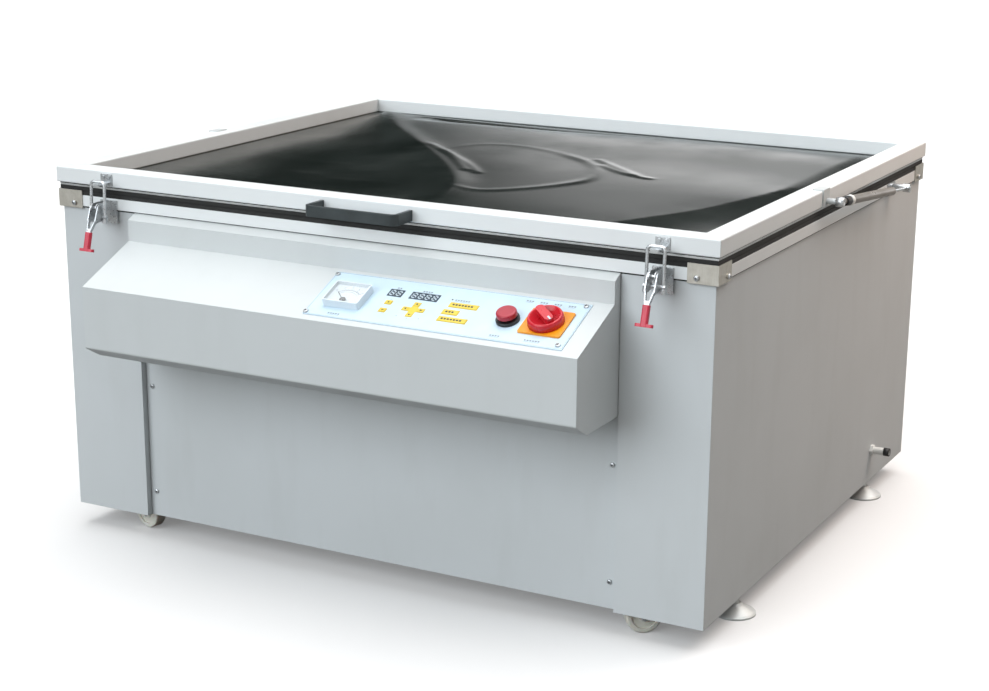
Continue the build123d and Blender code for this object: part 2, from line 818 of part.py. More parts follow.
save(lid_frame, "lid_frame")

# Rubber vacuum blanket: flat where it is clamped, with its main slack folds inside the lid
blanket_x = lid_side - blanket_inset
blanket_y0 = lid_front + blanket_inset
blanket_y1 = lid_back - blanket_inset
slack_x = lid_side - blanket_slack_in
slack_y0 = lid_front + blanket_slack_in
slack_y1 = lid_back - blanket_slack_in
slack_d = slack_y1 - slack_y0


def fold_chain(station, z_shift):
    """One line across the slack sheet, from front to back, at a station along the lid."""
    share = 1 - abs(fold_stations[station]) ** 4
    start = (slack_y0, lid_bottom + z_shift)
    for centre, drift, width, rise in folds:
        y = slack_y0 + slack_d * (centre + drift[station])
        half = slack_d * width / 2
        dip = -blanket_sag * share
        low_a = (y - half, lid_bottom + z_shift + dip)
        top = (y, lid_bottom + z_shift + dip + fold_edge_rise + rise * share)
        low_b = (y + half, lid_bottom + z_shift + dip)
        Line(start, low_a)
        ThreePointArc(low_a, top, low_b)
        start = low_b
    Line(start, (slack_y1, lid_bottom + z_shift))


with BuildPart() as blanket:
    for station in range(len(fold_stations)):
        with BuildSketch(Plane.YZ.offset(fold_stations[station] * slack_x)):
            with BuildLine():
                fold_chain(station, 0)
                fold_chain(station, -blanket_t)
                Line((slack_y0, lid_bottom - blanket_t), (slack_y0, lid_bottom))
                Line((slack_y1, lid_bottom - blanket_t), (slack_y1, lid_bottom))
            make_face()
    loft(ruled=True)
    for sx in (-1, 1):
        slab(sx * slack_x, sx * blanket_x, blanket_y0, blanket_y1, blanket_low, lid_bottom)
    slab(-slack_x, slack_x, blanket_y0, slack_y0, blanket_low, lid_bottom)
    slab(-slack_x, slack_x, slack_y1, blanket_y1, blanket_low, lid_bottom)
save(blanket, "blanket")

# Clamp strips under the blanket's edge
with BuildPart() as blanket_clamps:
    strips(blanket_x, blanket_y0, blanket_y1, clamp_w, clamp_low, clamp_top)
save(blanket_clamps, "blanket_clamps")

# Lid handle: one flat bar bent to a U, welded to the lid's front face
handle_front = lid_front - handle_reach
with BuildPart() as lid_handle:
    slab(handle_x - handle_half, handle_x + handle_half, handle_front, lid_front,
         handle_z, handle_z + handle_h)
    fillet(lid_handle.edges().filter_by(Axis.Z).group_by(Axis.Y)[0], 2 * handle_strap)
    with BuildPart(mode=Mode.PRIVATE) as handle_hollow:
        inner_x = handle_half - handle_strap
        slab(handle_x - inner_x, handle_x + inner_x, handle_front + handle_strap, lid_front + handle_strap,
             handle_z, handle_z + handle_h)
        fillet(handle_hollow.edges().filter_by(Axis.Z).group_by(Axis.Y)[0], handle_strap)
    add(handle_hollow.part, mode=Mode.SUBTRACT)
save(lid_handle, "lid_handle")

# Lid hinges: outer knuckles and pin on the rear rail, centre knuckle on the lid
with BuildPart() as hinge_base_leaves:
    for cx in (-hinge_x, hinge_x):
        for sx in (-1, 1):
            x0 = cx + sx * (hinge_mid / 2 + side_gap)
            x1 = cx + sx * hinge_len / 2
            slab(x0, x1, rail_back, hinge_y + hinge_barrel_r, rail_bottom, rail_top - 1)
            slab(x0, x1, hinge_y - hinge_web_in, hinge_y + hinge_barrel_r, rail_top - 1, hinge_z)
            bar_x(x0, x1, hinge_y, hinge_z, hinge_barrel_r)
        bar_x(cx - hinge_len / 2, cx + hinge_len / 2, hinge_y, hinge_z, hinge_pin_r)
save(hinge_base_leaves, "hinge_base_leaves")

with BuildPart() as hinge_lid_leaves:
    for cx in (-hinge_x, hinge_x):
        slab(cx - hinge_len / 2, cx + hinge_len / 2, lid_back, lid_back + hinge_plate_t / 2,
             lid_bottom + hinge_plate_in, lid_top - hinge_plate_in)
        slab(cx - hinge_mid / 2, cx + hinge_mid / 2, lid_back, hinge_y, hinge_z, hinge_z + hinge_barrel_r)
        bar_x(cx - hinge_mid / 2, cx + hinge_mid / 2, hinge_y, hinge_z, hinge_barrel_r)
        bar_x(cx - hinge_mid / 2, cx + hinge_mid / 2, hinge_y, hinge_z, hinge_pin_r + run_gap,
              mode=Mode.SUBTRACT)
save(hinge_lid_leaves, "hinge_lid_leaves")

# Gas struts: places of the two ball studs, and how far the strut grows as the lid opens
base_y = mid_y + strut_base_y
stud_y = mid_y + strut_lid_y
stud_z = lid_bottom + strut_lid_up
strut_len = hypot(stud_y - base_y, stud_z - strut_base_z)
strut_tilt = atan2(stud_z - strut_base_z, base_y - stud_y)
strut_line = Plane(
    origin=(0, base_y, strut_base_z),
    x_dir=(1, 0, 0),
    z_dir=(0, -cos(strut_tilt), sin(strut_tilt)),
)
eye_x0 = strut_x - strut_eye_w / 2
eye_x1 = strut_x + strut_eye_w / 2

with BuildPart() as strut_base_brackets:
    for sx in (-1, 1):
        slab(sx * rail_x, sx * (rail_x + strut_plate_t), base_y - strut_plate_w, base_y + strut_plate_w / 2,
             rail_bottom, rail_top)
        bar_x(sx * (rail_x + strut_plate_t), sx * (eye_x1 + 1), base_y, strut_base_z, strut_stud_r)
        bar_x(sx * (rail_x + strut_plate_t), sx * (eye_x0 - side_gap), base_y, strut_base_z,
              strut_stud_r + 2)
save(strut_base_brackets, "strut_base_brackets")

with BuildPart() as strut_lid_brackets:
    for sx in (-1, 1):
        y0 = stud_y - strut_plate_w / 2 - strut_plate_aside
        y1 = stud_y + strut_plate_w / 2 - strut_plate_aside
        slab(sx * lid_side, sx * (lid_side + strut_plate_t), y0, y1, lid_bottom, lid_top + strut_plate_t)
        slab(sx * (lid_side - strut_plate_over), sx * (lid_side + strut_plate_t), y0, y1,
             lid_top, lid_top + strut_plate_t)
        bar_x(sx * (lid_side + strut_plate_t), sx * (eye_x0 - pass_gap), stud_y, stud_z, strut_stud_r + 1)
save(strut_lid_brackets, "strut_lid_brackets")

for sx, tag in ((-1, "left"), (1, "right")):
    rod_line = Plane(strut_line.origin + Vector(sx * strut_x, 0, 0), strut_line.x_dir, strut_line.z_dir)
    with BuildPart() as strut_rod:
        with BuildSketch(rod_line):
            Circle(strut_rod_r)
        extrude(amount=strut_rod_len)
        with BuildSketch(rod_line.offset(strut_rod_len - strut_piston)):
            Circle(strut_bore_r - run_gap)
        extrude(amount=strut_piston)
        bar_x(sx * eye_x0, sx * eye_x1, base_y, strut_base_z, strut_eye_r)
        bar_x(sx * eye_x0, sx * eye_x1, base_y, strut_base_z, strut_stud_r + run_gap, mode=Mode.SUBTRACT)
    save(strut_rod, f"strut_rod_{tag}")
    gland = strut_len - strut_tube_start - strut_tube_len
    with BuildPart() as strut_cylinder:
        with BuildSketch(rod_line.offset(gland)):
            Circle(strut_tube_r)
        extrude(amount=strut_tube_len)
        with BuildSketch(rod_line.offset(gland + strut_end_wall)):
            Circle(strut_bore_r)
        extrude(amount=strut_tube_len - 2 * strut_end_wall, mode=Mode.SUBTRACT)
        with BuildSketch(rod_line.offset(gland)):
            Circle(strut_rod_r + run_gap)
        extrude(amount=strut_end_wall, mode=Mode.SUBTRACT)
        with BuildSketch(rod_line.offset(gland + strut_tube_len)):
            Circle(strut_tube_r - strut_neck_in)
        extrude(amount=strut_tube_start - strut_eye_r + strut_neck_in)
        bar_x(sx * eye_x0, sx * eye_x1, stud_y, stud_z, strut_eye_r)
    save(strut_cylinder, f"strut_cylinder_{tag}")

# Latches: base with two ears, over-centre lever, rubber grip, and the wire bail with its cross bar
latch_face = rail_front
pivot_y = latch_face - latch_pivot_out + latch_plate_t
bail_y = pivot_y + latch_throw_y
bail_z = latch_pivot_z + latch_throw_z
hook_z = keeper_ledge_z + keeper_rest_gap + latch_bar_r
hook_y = bail_y + latch_hook_in
arm_x = latch_arm_x + latch_arm_t
with BuildPart() as latch_bases:
    for cx in latch_xs:
        slab(cx - latch_base_w / 2, cx + latch_base_w / 2, latch_face - latch_plate_t, latch_face,
             latch_base_low, latch_base_high)
        for sx in (-1, 1):
            x0 = cx + sx * latch_ear_x
            x1 = cx + sx * (latch_ear_x + latch_arm_t)
            slab(x0, x1, pivot_y, latch_face - latch_plate_t, latch_pivot_z - latch_ear_r,
                 latch_pivot_z + latch_ear_r)
            bar_x(x0, x1, pivot_y, latch_pivot_z, latch_ear_r)
            bar_x(x0, x1, pivot_y, latch_pivot_z, latch_pin_r + run_gap, mode=Mode.SUBTRACT)
save(latch_bases, "latch_bases")

neck_y = pivot_y + latch_neck[0]
neck_z = latch_pivot_z + latch_neck[1]
grip_y = pivot_y + latch_grip_top[0]
grip_z = latch_pivot_z + latch_grip_top[1]
arms_len = hypot(grip_y - neck_y, grip_z - neck_z)
arms_tilt = atan2(grip_y - neck_y, grip_z - neck_z)
grip_len = hypot(latch_grip_end[0] - latch_grip_top[0], latch_grip_end[1] - latch_grip_top[1])
grip_tilt = atan2(latch_grip_end[0] - latch_grip_top[0], latch_grip_end[1] - latch_grip_top[1])
stem_half = latch_stem_w / 2
for cx, tag in zip(latch_xs, ("left", "right")):
    arms_plane = Plane(
        origin=(cx, neck_y, neck_z),
        x_dir=(1, 0, 0),
        z_dir=(0, -cos(arms_tilt), sin(arms_tilt)),
    )
    grip_plane = Plane(
        origin=(cx, grip_y, grip_z),
        x_dir=(1, 0, 0),
        z_dir=(0, sin(grip_tilt), cos(grip_tilt)),
    )
    with BuildPart() as latch_lever:
        for sx in (-1, 1):
            x0 = min(sx * latch_arm_x, sx * arm_x) + cx
            with BuildSketch(Plane.YZ.offset(x0)):
                with Locations((pivot_y, latch_pivot_z), (bail_y, bail_z)):
                    Circle(latch_arm_r)
                with Locations((neck_y, neck_z)):
                    Circle(latch_neck_r)
                make_hull()
                with Locations((bail_y, bail_z)):
                    Circle(latch_cross_r + run_gap, mode=Mode.SUBTRACT)
            extrude(amount=latch_arm_t)
            with BuildSketch(arms_plane):
                with BuildLine():
                    Polyline(
                        (sx * latch_arm_x, -latch_neck_r),
                        (sx * arm_x, -latch_neck_r),
                        (sx * stem_half, arms_len - 1),
                        (sx * (stem_half - latch_arm_t), arms_len - 1),
                        close=True,
                    )
                make_face()
            extrude(amount=latch_arm_deep / 2, both=True)
        with BuildSketch(grip_plane.offset(-latch_arm_deep)):
            Rectangle(latch_stem_w, latch_stem_t)
        extrude(amount=latch_arm_deep + grip_len - latch_tee_h)
        bar_x(cx - arm_x, cx + arm_x, pivot_y, latch_pivot_z, latch_pin_r)
    save(latch_lever, f"latch_lever_{tag}")
    with BuildPart() as latch_grip:
        with BuildSketch(grip_plane):
            RectangleRounded(latch_grip_w, latch_grip_t, latch_grip_round)
        extrude(amount=grip_len)
        with BuildSketch(grip_plane.offset(grip_len - latch_tee_h)):
            RectangleRounded(latch_tee_w, latch_tee_t, latch_grip_round)
        extrude(amount=latch_tee_h)
        with BuildSketch(grip_plane):
            Rectangle(latch_stem_w, latch_stem_t)
        extrude(amount=grip_len - latch_tee_h, mode=Mode.SUBTRACT)
    save(latch_grip, f"latch_grip_{tag}")

# Wire bails: a bent U of rod on a cross bar, with a nut at the foot of each leg
bail_lean = atan2(hook_y - bail_y, hook_z - bail_z)
leg_len = hypot(hook_y - bail_y, hook_z - bail_z)
for cx, tag in zip(latch_xs, ("left", "right")):
    leg_plane = Plane(
        origin=(cx, bail_y, bail_z),
        x_dir=(1, 0, 0),
        z_dir=(0, -cos(bail_lean), sin(bail_lean)),
    )
    with BuildPart() as latch_bail:
        with BuildLine(leg_plane) as wire:
            FilletPolyline(
                (-latch_leg_x, -latch_foot),
                (-latch_leg_x, leg_len),
                (latch_leg_x, leg_len),
                (latch_leg_x, -latch_foot),
                radius=latch_bend_r,
            )
        with BuildSketch(Plane(origin=wire.line @ 0, z_dir=wire.line % 0)):
            Circle(latch_bar_r)
        sweep(path=wire.line)
        cross_x = latch_leg_x + latch_cross_over
        bar_x(cx - cross_x, cx + cross_x, bail_y, bail_z, latch_cross_r)
        for sx in (-1, 1):
            nut_base = leg_plane.from_local_coords((sx * latch_leg_x, -latch_foot, 0))
            with BuildSketch(Plane(origin=nut_base, z_dir=leg_plane.y_dir)):
                RegularPolygon(latch_nut_r, 6)
            extrude(amount=latch_nut_h)
    save(latch_bail, f"latch_bail_{tag}")

# Keepers on the lid's front face: a plate and a ledge that the bail pulls down on
ledge_half = latch_leg_x - latch_bend_r - pass_gap
ledge_low = keeper_ledge_z - keeper_ledge_t
tip_y = hook_y - keeper_tip
keeper_face = lid_front - keeper_plate_t
with BuildPart() as latch_keepers:
    for cx in latch_xs:
        x0 = cx - keeper_w / 2
        x1 = cx + keeper_w / 2
        slab(x0, x1, keeper_face, lid_front, keeper_ledge_z - keeper_below, lid_top - keeper_above)
        slab(cx - ledge_half, cx + ledge_half, tip_y, lid_front, ledge_low, keeper_ledge_z)
        slab(cx - ledge_half, cx + ledge_half, tip_y - keeper_lip, tip_y, ledge_low,
             keeper_ledge_z + keeper_rest_gap / 2)
        for x in (x0 + keeper_screw_in, x1 - keeper_screw_in):
            bar_y(x, lid_top - keeper_screw_down, keeper_face - screw_head_h, keeper_face, keeper_screw_r)
save(latch_keepers, "latch_keepers")

# Levelling feet: spun pad, cone and threaded stem, in blocks welded into the chassis tube
stem_top = floor_z + tube + foot_stem_up
with BuildPart() as levelling_feet:
    for x in (-foot_x, foot_x):
        for y in (mid_y - foot_y, mid_y + foot_y):
            with BuildSketch(Plane(origin=(x, y, 0), x_dir=(1, 0, 0), z_dir=(0, -1, 0))) as foot_profile:
                with BuildLine():
                    Polyline(
                        (0, 0),
                        (foot_r, 0),
                        (foot_r, foot_rim),
                        (foot_r - foot_rim, foot_cone),
                        (foot_neck_r + foot_rim, foot_h - foot_neck_h),
                        (foot_neck_r, foot_h),
                        (foot_stem_r, foot_h),
                        (foot_stem_r, stem_top),
                        (0, stem_top),
                        close=True,
                    )
                make_face()
            revolve(foot_profile.sketch, axis=Axis((x, y, 0), (0, 0, 1)))
            bar_z(x, y, floor_z + tube, floor_z + tube + foot_top_nut_h, foot_neck_r)
            bar_z(x, y, floor_z - sheet - foot_nut_h, floor_z - sheet, foot_neck_r)
save(levelling_feet, "levelling_feet")

# Casters, as though one were bought four times: plate on the cabinet, swivelling fork, wheel
wheel_z = caster_wheel_r + caster_lift
swivel_top = floor_z - sheet - caster_plate_t
fork_top = swivel_top - caster_spin
rivet_low = fork_top - 2.5 * caster_fork_t
corners = [(sx, sy) for sy in (-1, 1) for sx in (-1, 1)]
corner_tags = ("front_left", "front_right", "rear_left", "rear_right")
with BuildPart() as caster_plates:
    for sx, sy in corners:
        x = sx * caster_x
        y = mid_y + sy * caster_y
        slab(x - caster_plate / 2, x + caster_plate / 2, y - caster_plate / 2, y + caster_plate / 2,
             swivel_top, floor_z - sheet)
        bar_z(x, y, rivet_low, swivel_top, caster_pin_r)
        bar_z(x, y, rivet_low, fork_top - caster_fork_t - side_gap, caster_pin_r + caster_fork_t)
save(caster_plates, "caster_plates")

for (sx, sy), tag in zip(corners, corner_tags):
    x = sx * caster_x
    y = mid_y + sy * caster_y
    aim_x = cos(radians(caster_aims[tag]))
    aim_y = sin(radians(caster_aims[tag]))
    toe = Plane(origin=(x, y, 0), x_dir=(aim_x, aim_y, 0), z_dir=(0, 0, 1))
    axle = Plane(
        origin=(x + caster_trail * aim_x, y + caster_trail * aim_y, wheel_z),
        x_dir=(aim_x, aim_y, 0),
        z_dir=(aim_y, -aim_x, 0),
    )
    half_in = caster_wheel_w / 2 + caster_hub_gap
    with BuildPart() as caster_fork:
        with BuildSketch(toe.offset(fork_top - caster_fork_t)):
            Circle(caster_head_r)
            with Locations((caster_trail / 2, 0)):
                Rectangle(caster_trail, 2 * (half_in + caster_fork_t))
            Circle(caster_pin_r + run_gap, mode=Mode.SUBTRACT)
        extrude(amount=caster_fork_t)
        for side_sign in (-1, 1):
            inner = side_sign * half_in
            outer = side_sign * (half_in + caster_fork_t)
            low = min(inner, outer)
            with BuildSketch(axle.offset(low)):
                with BuildLine():
                    Polyline(
                        (-caster_trail, fork_top - wheel_z),
                        (caster_head_r / 2, fork_top - wheel_z),
                        (caster_eye, 0),
                        (0, -caster_eye),
                        (-caster_eye, 0),
                        close=True,
                    )
                make_face()
            extrude(amount=caster_fork_t)
        with BuildSketch(axle.offset(-half_in - caster_fork_t)):
            Circle(caster_axle_r)
        extrude(amount=2 * (half_in + caster_fork_t))
    save(caster_fork, f"caster_fork_{tag}")
    with BuildPart() as caster_wheel:
        with BuildSketch(axle.offset(-caster_wheel_w / 2)):
            Circle(caster_wheel_r)
            Circle(caster_axle_r + run_gap, mode=Mode.SUBTRACT)
        extrude(amount=caster_wheel_w)
        rims = caster_wheel.edges().filter_by(GeomType.CIRCLE).group_by(SortBy.RADIUS)[-1]
        fillet(rims, caster_tread_r)
        for face_sign in (-1, 1):
            with BuildSketch(axle.offset(face_sign * (caster_wheel_w / 2 - caster_dish))):
                Circle(caster_wheel_r - caster_rim)
                Circle(caster_hub_r, mode=Mode.SUBTRACT)
            extrude(amount=face_sign * (caster_dish + 1), mode=Mode.SUBTRACT)
    save(caster_wheel, f"caster_wheel_{tag}")

# Exhaust stub of the vacuum pump, through the right side panel with its hex nut
pump_x1 = pump_x + pump_w / 2
with BuildPart() as exhaust_stub:
    bar_x(pump_x1, side + exhaust_out, exhaust_y, exhaust_z, exhaust_tube_r)
    with BuildSketch(Plane.YZ.offset(side)):
        with Locations((exhaust_y, exhaust_z)):
            RegularPolygon(exhaust_nut_r, 6)
    extrude(amount=exhaust_nut_t)
    bar_x(pump_x1 + exhaust_plug, side + exhaust_out + 1, exhaust_y, exhaust_z, exhaust_bore_r,
          mode=Mode.SUBTRACT)
save(exhaust_stub, "exhaust_stub")

# Vacuum pump on the floor: base, motor, two heads
with BuildPart() as vacuum_pump:
    slab(pump_x - pump_w / 2, pump_x1, exhaust_y - pump_d / 2, exhaust_y + pump_d / 2, floor_z,
         floor_z + pump_base_h)
    bar_x(pump_x - pump_w / 2 + pump_motor_in, pump_x1 - pump_motor_in, exhaust_y,
          floor_z + pump_motor_up, pump_motor_r)
    for sx in (-1, 1):
        bar_z(pump_x + sx * (pump_w / 2 - pump_head_in), exhaust_y, floor_z + pump_head_zs[0],
              floor_z + pump_head_zs[1], pump_head_r)
save(vacuum_pump, "vacuum_pump")

# Ballast box with its terminal cover
cover_w, cover_d, cover_h = ballast_cover
ballast_top = floor_z + ballast_h
with BuildPart() as ballast:
    slab(ballast_x - ballast_w / 2, ballast_x + ballast_w / 2, mid_y - ballast_d / 2,
         mid_y + ballast_d / 2, floor_z, ballast_top)
    slab(ballast_x - cover_w / 2, ballast_x + cover_w / 2, mid_y - cover_d / 2,
         mid_y + cover_d / 2, ballast_top, ballast_top + cover_h)
save(ballast, "ballast")

# Fan on the inside of the back panel, with its impeller on a fixed pin
fan_back = back - sheet
strut_reach = 2 * fan_bore_r + fan_gap
with BuildPart() as fan_frame:
    fan_square = Plane(origin=(fan_x, fan_back, fan_z), x_dir=(-1, 0, 0), z_dir=(0, 1, 0))
    with BuildSketch(fan_square):
        RectangleRounded(fan_size, fan_size, fan_corner_r)
        Circle(fan_bore_r, mode=Mode.SUBTRACT)
    extrude(amount=-fan_t)
    with BuildSketch(fan_square.offset(-fan_t)):
        Circle(fan_hub_r)
        Rectangle(strut_reach, fan_strut_w)
        Rectangle(fan_strut_w, strut_reach)
    extrude(amount=fan_strut_t)
    with BuildSketch(fan_square.offset(-fan_t)):
        Circle(fan_pin_r)
    extrude(amount=fan_t - fan_gap)
save(fan_frame, "fan_frame")

with BuildPart() as fan_impeller:
    hub_plane = fan_square.offset(-fan_t + fan_gap)
    with BuildSketch(hub_plane):
        Circle(fan_hub_r)
        Circle(fan_pin_r + run_gap, mode=Mode.SUBTRACT)
    extrude(amount=fan_t - 2 * fan_gap)
    for turn in range(fan_blades):
        angle = radians(turn * 360 / fan_blades)
        spoke = Vector(cos(angle), 0, sin(angle))
        across = Vector(-sin(angle), 0, cos(angle))
        pitched = across * cos(radians(fan_pitch)) + Vector(0, 1, 0) * sin(radians(fan_pitch))
        blade_root = hub_plane.origin + Vector(0, fan_t / 2 - fan_gap, 0) + spoke * (fan_hub_r - 1)
        with BuildSketch(Plane(origin=blade_root, x_dir=pitched, z_dir=spoke)):
            Rectangle(fan_chord, fan_blade_t)
        extrude(amount=fan_bore_r - fan_hub_r - 2)
save(fan_impeller, "fan_impeller")

# Lamp tray: folded sheet on the tray runners, with a lampholder bar along each side
tray_front = mid_y - tray_half_d
tray_rear = mid_y + tray_half_d
wall_top = tray_z + tray_h
with BuildPart() as lamp_reflector:
    slab(tray_gap - tube_x, tube_x - tray_gap, tray_front, tray_rear, tray_z, tray_z + tray_t)
    for sx in (-1, 1):
        slab(sx * tray_wall_x, sx * (tray_wall_x + tray_t), tray_front, tray_rear, tray_z, wall_top)
        slab(sx * (tray_wall_x - holder_w), sx * tray_wall_x, tray_front + holder_end,
             tray_rear - holder_end, tray_z, tray_z + holder_h)
    for y0 in (tray_front, tray_rear - tray_t):
        slab(-tray_wall_x, tray_wall_x, y0, y0 + tray_t, tray_z, wall_top)
save(lamp_reflector, "lamp_reflector")

# Fluorescent ultraviolet tubes between the lampholder bars
lamp_reach = tray_wall_x - holder_w
lamp_z = tray_z + holder_h - lamp_r
with BuildPart() as uv_tubes:
    for k in range(lamp_count):
        y = mid_y + (k - (lamp_count - 1) / 2) * lamp_pitch
        bar_x(-lamp_reach, lamp_reach, y, lamp_z, lamp_r)
save(uv_tubes, "uv_tubes")
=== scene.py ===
import json
import math

import bpy
import numpy as np
from mathutils import Matrix, Vector


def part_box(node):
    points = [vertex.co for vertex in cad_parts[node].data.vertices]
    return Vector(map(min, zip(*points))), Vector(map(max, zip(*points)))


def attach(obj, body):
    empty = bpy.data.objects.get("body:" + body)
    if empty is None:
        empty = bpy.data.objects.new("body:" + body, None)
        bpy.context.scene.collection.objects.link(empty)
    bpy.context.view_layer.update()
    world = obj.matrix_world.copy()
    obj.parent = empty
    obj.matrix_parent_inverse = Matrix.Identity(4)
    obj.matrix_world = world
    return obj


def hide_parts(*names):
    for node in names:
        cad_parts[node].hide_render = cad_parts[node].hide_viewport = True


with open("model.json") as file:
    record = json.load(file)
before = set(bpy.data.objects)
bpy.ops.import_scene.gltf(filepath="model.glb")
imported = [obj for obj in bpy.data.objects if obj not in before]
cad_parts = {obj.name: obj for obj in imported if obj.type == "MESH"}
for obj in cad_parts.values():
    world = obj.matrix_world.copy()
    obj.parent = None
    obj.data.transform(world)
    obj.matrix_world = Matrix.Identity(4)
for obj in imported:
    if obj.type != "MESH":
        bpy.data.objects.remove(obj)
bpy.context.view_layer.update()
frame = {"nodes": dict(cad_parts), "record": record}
nodes = frame["nodes"]
mm = 0.001
print("frame loaded:", len(nodes), "nodes")

lidLow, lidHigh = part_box("lid_frame")
midY = (lidLow.y + lidHigh.y) / 2  # the cabinet's middle, a little behind the frame's origin
cabinetHalf = (618.0, 518.0)  # mm from its middle to its sides, and to its front and back

camera = {
    "place": (1668.5, -3171.4, 1261.5),  # mm from the floor under the cabinet's middle
    "turn": 27.6,  # degrees to the left of straight ahead
    "tilt": 16.2,  # degrees down
    "roll": 0.53,
    "lens": 71.45,  # mm
    "sensor": 36.0,  # mm wide
    "shift": (-0.0202, 0.0404),
    "far": 80.0,  # m, past the end of the paper floor
}


def placeCamera(c):
    turn, tilt, roll = (math.radians(c[name]) for name in ("turn", "tilt", "roll"))
    ahead = Vector((-math.sin(turn) * math.cos(tilt), math.cos(turn) * math.cos(tilt), -math.sin(tilt)))
    right = ahead.cross(Vector((0, 0, 1))).normalized()
    above = right.cross(ahead)
    rolledRight = math.cos(roll) * right + math.sin(roll) * above
    rolledAbove = -math.sin(roll) * right + math.cos(roll) * above
    data = bpy.data.cameras.new("photoCamera")
    data.lens, data.sensor_width, data.sensor_fit = c["lens"], c["sensor"], "HORIZONTAL"
    data.shift_x, data.shift_y = c["shift"]
    data.clip_end = c["far"]
    made = bpy.data.objects.new("photoCamera", data)
    bpy.context.scene.collection.objects.link(made)
    x, y, z = (v * mm for v in c["place"])
    facing = Matrix((rolledRight, rolledAbove, -ahead)).transposed().to_4x4()
    made.matrix_world = Matrix.Translation((x, y + midY, z)) @ facing
    bpy.context.scene.camera = made


placeCamera(camera)
print("camera placed")


def linear(hexText):  # an sRGB hex colour as linear light
    parts = [int(hexText[k:k + 2], 16) / 255 for k in (1, 3, 5)]
    return tuple(p / 12.92 if p <= 0.04045 else ((p + 0.055) / 1.055) ** 2.4 for p in parts) + (1.0,)


def addNode(tree, kind, settings=None, links=None):  # one shader node with its settings and links
    node = tree.nodes.new("ShaderNode" + kind)
    for name, value in (settings or {}).items():
        if hasattr(node, str(name)):
            setattr(node, name, value)
        else:
            node.inputs[name].default_value = value
    for name, source in (links or {}).items():
        tree.links.new(getattr(source, "outputs", [source])[0], node.inputs[name])
    return node


def startMaterial(name, base, roughness, sockets=None):
    made = bpy.data.materials.new(name)
    made.use_nodes = True
    made.diffuse_color = linear(base)
    shader = made.node_tree.nodes["Principled BSDF"].inputs
    shader["Base Color"].default_value = linear(base)
    shader["Roughness"].default_value = roughness
    for socket, value in (sockets or {}).items():
        shader[socket].default_value = value
    return made, made.node_tree, shader


print("materials: paints and metals")
noiseSpan = {"From Min": 0.3, "From Max": 0.7}  # where nearly all of a noise texture's values lie
paints = {
    "lid": {"base": "#E6EAEB", "grey": "#D2D6D5", "chip": "#8A8984", "gloss": (0.36, 0.48)},
    "cabinet": {"base": "#CACFD1", "grey": "#ABAEAB", "chip": "#86857F", "gloss": (0.42, 0.54)},
    "console": {"base": "#CBD0D1", "grey": "#B7BBBA", "chip": "#8C8C88", "gloss": (0.36, 0.48)},
    "cloud": 240.0,  # mm, the patches where the film is a little thicker
    "smear": 55.0,  # mm, wiping marks, five times as long up and down
    "peel": 2.4,  # mm across a ripple of the orange peel, which is nearer 1 mm on the real one
    "peelDepth": 0.014,
    "flake": 8.0,  # mm, the spots where a bend has lost its paint
    "bend": 1.2,  # mm of rounding where a sheet is bent
}


def powderCoat(name, look):  # sprayed powder baked on steel: even and softly glossy, with a fine orange peel
    made, tree, shader = startMaterial(name, look["base"], 0.42, {"IOR": 1.5})
    place = addNode(tree, "TexCoord").outputs["Object"]
    cloud = addNode(tree, "TexNoise", {"Scale": 1 / (paints["cloud"] * mm), "Detail": 3.0}, {"Vector": place})
    tall = addNode(tree, "Mapping", {"Scale": (1, 1, 0.2)}, {"Vector": place})
    smear = addNode(tree, "TexNoise", {"Scale": 1 / (paints["smear"] * mm), "Detail": 5.0}, {"Vector": tall})
    peel = addNode(tree, "TexNoise", {"Scale": 1 / (paints["peel"] * mm), "Detail": 2.0}, {"Vector": place})
    flakes = addNode(tree, "TexNoise", {"Scale": 1 / (paints["flake"] * mm), "Detail": 4.0}, {"Vector": place})
    patchy = addNode(tree, "MapRange", {"From Min": 0.4, "From Max": 0.75, "To Max": 0.16}, {"Value": cloud})
    wiped = addNode(tree, "MapRange", {"From Min": 0.52, "From Max": 0.8, "To Max": 0.14}, {"Value": smear})
    greyed = addNode(tree, "Math", {"operation": "ADD"}, {0: patchy, 1: wiped})
    film = addNode(tree, "MixRGB", {"Color1": linear(look["base"]), "Color2": linear(look["grey"])},
                   {"Fac": greyed})
    rounded = addNode(tree, "Bevel", {"samples": 4, "Radius": paints["bend"] * mm})
    facing = addNode(tree, "NewGeometry").outputs["Normal"]
    turned = addNode(tree, "VectorMath", {"operation": "DOT_PRODUCT"}, {0: rounded, 1: facing}).outputs["Value"]
    edge = addNode(tree, "MapRange", {"From Min": 0.8, "From Max": 0.97, "To Min": 1.0, "To Max": 0.0},
                   {"Value": turned})
    loose = addNode(tree, "MapRange", {"From Min": 0.54, "From Max": 0.72, "To Max": 0.55}, {"Value": flakes})
    chipped = addNode(tree, "Math", {"operation": "MULTIPLY"}, {0: edge, 1: loose})
    colour = addNode(tree, "MixRGB", {"Color2": linear(look["chip"])}, {"Fac": chipped, "Color1": film})
    low, high = look["gloss"]
    gloss = addNode(tree, "MapRange", {**noiseSpan, "To Min": low, "To Max": high}, {"Value": cloud})
    bump = addNode(tree, "Bump", {"Distance": paints["peelDepth"] * mm}, {"Height": peel, "Normal": rounded})
    tree.links.new(colour.outputs[0], shader["Base Color"])
    tree.links.new(gloss.outputs[0], shader["Roughness"])
    tree.links.new(bump.outputs[0], shader["Normal"])
    return made


lidPaint = powderCoat("powderCoatedSteelLid", paints["lid"])
cabinetPaint = powderCoat("powderCoatedSteelCabinet", paints["cabinet"])
consolePaint = powderCoat("powderCoatedSteelConsole", paints["console"])

metalGrain = {"patch": 14, "depth": 0.012, "edge": 0.4}  # grains across a dull patch, then mm of relief and rounding


